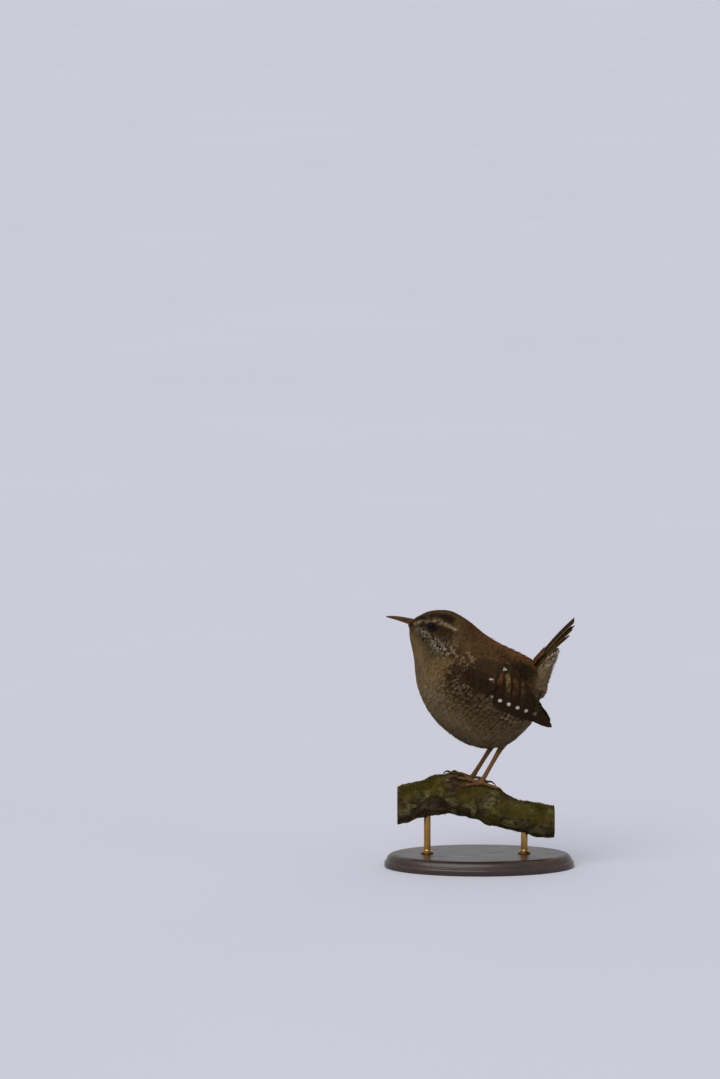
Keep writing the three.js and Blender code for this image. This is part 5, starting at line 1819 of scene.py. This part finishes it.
class WREN_OT_legs(Operator):
    """Makes shanks, feathered socks, toes and claws"""
    bl_idname = "wren.legs"
    bl_label = "Legs"

    def execute(self, context):
        for name, leg in LEGS.items():
            turn = leg["arc"] / PERCH_GIRTH
            foot = perch_place(np.array(leg["foot"]), np.array(turn), np.array(FOOT_HEIGHT))
            ankle = np.array(leg["ankle"])
            self.shank(name, foot, ankle)
            self.sock(name, foot, ankle)
            self.toes(name, leg, foot)
        return {"FINISHED"}

    def shank(self, name, foot, ankle):
        """The long bare bone: round behind, with a row of lapping scutes down its front."""
        t = np.linspace(0, 1.12, 110)
        path = foot + (ankle - foot) * t[:, None]
        share = read_line(t, SHANK_SWELL)
        saw = np.mod(t[:, None] * SCUTES, 1)

        def form(_, turn):
            front = smooth(np.cos(turn), 0.0, 0.5)
            return 1 + 0.07 * front * (saw - 0.5) + 0.03 * (1 - front) * np.sin(t[:, None] * 120)

        rings = tube(path, share * 1.12, share * 0.82, 28, form)
        seam = np.exp(-(np.minimum(saw, 1 - saw) / 0.06) ** 2) * smooth(np.cos(full_turn(28)), 0.0, 0.4)
        make_piece(f"shank_skin_{name}", *closed_loft(rings), "leg_skin", "leg_scales",
                   {"tint": np.append(seam.ravel(), [0, 0])}, replaces=(f"shank_{name}",))

    def sock(self, name, foot, ankle):
        """Small feathers that run down from the belly round the top of the shank."""
        rng = np.random.default_rng(71)
        way = unit(ankle - foot)
        across = unit(np.array([0, 1.0, 0]) - way * way[1])
        front = np.cross(across, way)
        n = 230
        a, b = even_pairs(n)
        reach, turn = 6.0 - 8.0 * a, 2 * np.pi * b

        def place(x, y, h):
            r = reach[:, None] - x
            radius = read_line(r, SOCK_RADII) + h
            angle = turn[:, None] + y / 1.6
            return (ankle + way * r[..., None] + front * (radius * np.cos(angle))[..., None]
                    + across * (radius * np.sin(angle))[..., None])

        length = rng.uniform(1.9, 2.8, n)
        laid = lay(place, BROAD_FEATHER, rng.normal(0, 0.1, n), length, length * 0.42, np.full(n, -0.35),
                   rng.uniform(0.1, 0.4, n), rng)
        batch = Batch()
        put(batch, BROAD_FEATHER, laid, length, [0.4, 0.05, 0.35, 0.3], (0.02 + 0.96 * b, 0.9 - 0.1 * reach),
            start=6 - reach, fleck=0.2)
        batch.piece(f"sock_{name}", "body_feathers", "body_plumage", replaces=(f"thigh_{name}",))

    def toes(self, name, leg, foot):
        """Four toes over the bark, each a tube with pads below and scutes above, and their claws."""
        skin, horn = Batch(), Batch()
        for spec in TOES:
            self.toe(skin, horn, leg, spec)
        turn = full_turn(20)
        angle = np.linspace(0.05, np.pi - 0.05, 14)[:, None]
        knob = np.stack([1.18 * np.sin(angle) * np.cos(turn), 1.1 * np.sin(angle) * np.sin(turn),
                         1.05 * np.cos(angle) + 0 * turn], -1) + foot
        points, faces = closed_loft(knob)
        skin.add(points, outward(points, faces), tint=np.full(len(points), 0.15))
        skin.piece(f"toes_{name}", "leg_skin", "leg_scales", replaces=(f"foot_{name}",))
        horn.piece(f"claws_{name}", "claw_horn", "bill_horn")

    def toe(self, skin, horn, leg, spec):
        """One toe and its claw, laid along the branch at a turn from straight ahead."""
        turn = math.radians(spec["turn"])
        way = (-math.cos(turn), leg["side"] * math.sin(turn))
        length, claw = spec["length"], spec["claw"]

        def along(reach, h):
            angle = leg["arc"] / PERCH_GIRTH + way[1] * reach / PERCH_GIRTH
            return perch_place(leg["foot"] + way[0] * reach, angle, h)

        t = np.linspace(0, 1, 70)
        pads = spec["pads"]
        beat = np.cos(2 * np.pi * pads * t)
        thick = TOE_RADIUS * (1.06 - 0.26 * t + 0.05 * beat) * np.where(t > 0.96, 0.92, 1)
        path = along(length * t, 0.62 + TOE_RADIUS * 0.55 + 0.28 * (1 - t))
        saw = np.mod(t[:, None] * pads * 3.0, 1)

        def form(_, angle):
            above = smooth(np.cos(angle), -0.1, 0.4)
            below = smooth(-np.cos(angle), 0.2, 0.8)
            return 1 + 0.07 * above * (saw - 0.5) + 0.16 * below * beat[:, None]

        rings = tube(path, thick * 1.02, thick * 0.95, 18, form)
        points, faces = closed_loft(rings)
        seam = np.exp(-(np.minimum(saw, 1 - saw) / 0.09) ** 2) * smooth(np.cos(full_turn(18)), -0.1, 0.3)
        skin.add(points, outward(points, faces), tint=np.append(seam.ravel(), [0, 0]))
        u = np.linspace(0, 1, 34)
        hook = along(length - 0.35 + (claw + 0.35) * (0.92 * u - 0.12 * u ** 2),
                     0.95 + 0.75 * np.sin(np.pi * u ** 0.9) - 0.85 * u ** 2)
        radius = 0.50 * (1 - u) ** 0.7 + 0.045
        rings = tube(hook, radius, radius * 0.72, 14)
        points, faces = closed_loft(rings)
        tint = np.append(np.repeat(0.5 * (1 - u), 14), [0.5, 0])
        horn.add(points, outward(points, faces), tint=tint)


MOSS_LEAVES = 15000


class WREN_OT_perch(Operator):
    """Makes the cut branch with its bark and moss"""
    bl_idname = "wren.perch"
    bl_label = "Perch"

    def execute(self, context):
        self.branch()
        self.moss()
        return {"FINISHED"}

    def crust(self, x, turn):
        """Height of the bark over the smooth branch: ridges, cracks and flakes from noise."""
        place = perch_place(x, turn, 0 * turn)
        stretched = place * np.array([0.55, 1, 1])
        coarse = noise(stretched, 0.32, 1)
        ridges = 1 - np.abs(noise(stretched, 0.6, 2))
        flakes = noise(place, 1.5, 4)
        return 0.42 * coarse + 0.30 * (ridges ** 3 - 0.35) + 0.12 * flakes

    def branch(self):
        """The bark on a fine grid of x and turn, with sawn, slightly rounded ends."""
        first, last = PERCH_LINE[0, 0], PERCH_LINE[-1, 0]
        x, turn = np.meshgrid(np.linspace(first, last, 300), full_turn(170), indexing="ij")
        under_feet = np.exp(-((x + 3.0) / 9.0) ** 2) * smooth(np.cos(turn), 0.4, 0.9)
        height = self.crust(x, turn) * (1 - 0.5 * under_feet) + 0.12 * under_feet
        bark = perch_place(x, turn, height)
        share = np.array([0.97, 0.93, 0.8, 0.6, 0.4, 0.2, 0.05])[:, None, None]
        ends = []
        for row, way in ((bark[0], -1), (bark[-1], 1)):
            middle = row.mean(0)
            disc = middle + (row - middle)[None] * share
            disc[..., 0] = row[:, 0] + way * np.array([0.25, 0.3, 0.3, 0.3, 0.3, 0.3, 0.3])[:, None]
            ends.append(disc)
        rings = np.concatenate([ends[0][::-1], bark, ends[1]])
        caps = len(share)
        sawn = np.zeros(rings.shape[:2])
        sawn[:caps - 1], sawn[-caps + 1:] = 1, 1
        ring = np.ones(rings.shape[:2])
        ring[:caps], ring[-caps:] = share[::-1, :, 0], share[:, :, 0]
        place = rings.reshape(-1, 3)
        top = smooth(np.cos(np.tile(turn[0], (len(rings), 1))), -0.6, 0.5).ravel()
        mossy = smooth(noise(place, 0.16, 7) + 0.9 * top - 0.35, -0.1, 0.5)
        crusty = smooth(noise(place, 0.35, 8), 0.35, 0.6) * (1 - 0.5 * mossy)
        marks = np.stack([mossy, crusty, sawn.ravel(), ring.ravel()], -1)
        marks = np.concatenate([marks, [[0, 0, 1, 0], [0, 0, 1, 0]]])
        make_piece("branch_bark", *closed_loft(rings), "rough_bark", "mossy_bark", {"marks": marks},
                   crease=70, replaces=("perch",))

    def moss(self):
        """Short leaning moss leaves in cushions over the upper side, each a bent three-sided spike."""
        rng = np.random.default_rng(81)
        n = MOSS_LEAVES
        x = rng.uniform(PERCH_LINE[0, 0] + 1, PERCH_LINE[-1, 0] - 1, n)
        turn = rng.normal(0, 1.25, n)
        roots = perch_place(x, turn, np.zeros(n))
        cushion = noise(roots, 0.22, 9) + 0.5 * noise(roots, 0.6, 10)
        feet = np.exp(-((x + 3.0) / 8.0) ** 2) * smooth(np.cos(turn), 0.3, 0.9)
        keep = (cushion - 0.9 * feet + 0.25 * rng.random(n)) > 0.12
        x, turn, cushion = x[keep], turn[keep], cushion[keep]
        n = len(x)
        base = self.crust(x, turn)
        length = rng.uniform(0.5, 1.2, n) * (0.7 + 0.5 * np.clip(cushion, 0, 1))
        lean = rng.normal(0, 0.45, (n, 2))
        levels = np.array([0.0, 0.5, 1.0])
        widths = np.array([0.11, 0.09, 0.012])
        corner = full_turn(3)
        spin = rng.uniform(0, 2 * np.pi, n)
        points = np.empty((n, 3, 3, 3))
        for i, (level, width) in enumerate(zip(levels, widths)):
            rise = base - 0.15 + length * level * (1 - 0.25 * level)
            dx = lean[:, 0] * length * level ** 1.5
            dt = lean[:, 1] * length * level ** 1.5 / PERCH_GIRTH
            ring_x = x[:, None] + dx[:, None] + width * np.cos(corner + spin[:, None])
            ring_t = turn[:, None] + dt[:, None] + width / PERCH_GIRTH * np.sin(corner + spin[:, None])
            points[:, i] = perch_place(ring_x, ring_t, np.repeat(rise[:, None], 3, 1))
        quads = grid_faces(3, 3)
        form = np.concatenate([quads[:, [0, 1, 2]], quads[:, [0, 2, 3]], [[2, 1, 0], [6, 7, 8]]])
        faces = (form[None] + (np.arange(n) * 9)[:, None, None]).reshape(-1, 3)
        tint = np.tile(np.repeat(levels, 3), n)
        make_piece("moss_cushions", points.reshape(-1, 3), faces, "moss_leaves", "mossy_bark",
                   {"tint": tint}, crease=80)


class WREN_OT_stand(Operator):
    """Makes the base and the two rods of the display stand"""
    bl_idname = "wren.stand"
    bl_label = "Stand"

    def execute(self, context):
        sizes = context.scene.wren_stand
        half = np.array([sizes.base_length, sizes.base_width]) / 2 / MM
        height = sizes.base_height / MM
        self.base(half, height)
        for name in ("stand_rod_front", "stand_rod_back"):
            self.rod(name, height)
        return {"FINISHED"}

    def base(self, half, height):
        """An oval with a moulded edge: rings of the oval drawn in by the section's first number."""
        section = np.array([
            (6.0, 0.0), (0.3, 0.0), (0.08, 0.08), (0.0, 0.3), (0.0, 2.0), (0.12, 2.4), (0.4, 2.72),
            (0.8, 2.9), (0.9, 3.1), (1.0, 3.6), (1.35, 4.4), (1.95, 5.15), (2.6, 5.6), (3.4, 5.88),
            (4.2, 6.0), (6.0, 6.0), (12.0, 6.0), (18.0, 6.0), (24.0, 6.0)])
        section[:, 1] *= height / 6.0
        turn = full_turn(160)
        inset = section[:, 0][:, None]
        rings = np.stack([(half[0] - inset) * np.cos(turn), (half[1] - inset) * np.sin(turn),
                          np.repeat(section[:, 1][:, None], len(turn), 1)], -1)
        make_piece("stand_base_wood", *closed_loft(rings), "stained_wood", "stand_wood", crease=35,
                   replaces=("stand_base",))

    def rod(self, name, height):
        """A turned rod with a flared collar where it leaves the base."""
        low, high = (np.array(corner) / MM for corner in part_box(name))
        radius = (high[0] - low[0]) / 2
        middle = (low + high) / 2
        section = np.array([[0.0, 0], [radius * 0.9, 0], [radius, 0.4]])
        collar = np.array([[radius, height], [radius + 1.3, height + 0.05], [radius + 1.4, height + 0.45],
                           [radius + 1.1, height + 0.8], [radius + 0.45, height + 1.1],
                           [radius + 0.3, height + 1.6], [radius, height + 1.9]])
        section[:, 1] += low[2]
        top = np.array([[radius, high[2] - 0.4], [radius * 0.9, high[2]], [0.0, high[2]]])
        section = np.concatenate([section, collar, top])
        turn = full_turn(40)
        rings = np.stack([middle[0] + section[:, :1] * np.cos(turn), section[:, :1] * np.sin(turn),
                          np.repeat(section[:, 1:], len(turn), 1)], -1)
        make_piece(f"{name}_brass", *closed_loft(rings[1:-1]), "brushed_brass", "stand_brass", crease=30,
                   replaces=(name,))


class WREN_PT_panel(Panel):
    """Lists the pieces of the wren"""
    bl_idname = "WREN_PT_panel"
    bl_label = "Wren on a Perch"
    bl_space_type = "VIEW_3D"
    bl_region_type = "UI"
    bl_category = "Wren"

    def draw(self, context):
        column = self.layout.column(align=True)
        for step in OPERATORS:
            column.operator(step.bl_idname)
        for name in GROUPS:
            group = getattr(context.scene, name)
            box = self.layout.box()
            for key in group.__annotations__:
                box.prop(group, key)


OPERATORS = (WREN_OT_stage, WREN_OT_skin, WREN_OT_coat, WREN_OT_eyes, WREN_OT_bill, WREN_OT_wings,
             WREN_OT_tail, WREN_OT_legs, WREN_OT_perch, WREN_OT_stand)
GROUPS = {"wren_coat": WrenCoat, "wren_colours": WrenColours, "wren_stage": WrenStage,
          "wren_stand": WrenStand}


def register():
    """Registers the groups of values, the operators and the panel."""
    for name, group in GROUPS.items():
        bpy.utils.register_class(group)
        setattr(bpy.types.Scene, name, PointerProperty(type=group))
    for step in (*OPERATORS, WREN_PT_panel):
        bpy.utils.register_class(step)


def unregister():
    """Takes all of them away again."""
    for step in (WREN_PT_panel, *reversed(OPERATORS)):
        bpy.utils.unregister_class(step)
    for name, group in GROUPS.items():
        delattr(bpy.types.Scene, name)
        bpy.utils.unregister_class(group)


def main():
    register()
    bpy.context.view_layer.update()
    bpy.ops.wren.stage()
    bpy.ops.wren.skin()
    bpy.ops.wren.coat()
    bpy.ops.wren.eyes()
    bpy.ops.wren.bill()
    bpy.ops.wren.wings()
    bpy.ops.wren.tail()
    bpy.ops.wren.legs()
    bpy.ops.wren.perch()
    bpy.ops.wren.stand()


if __name__ == "__main__":
    main()
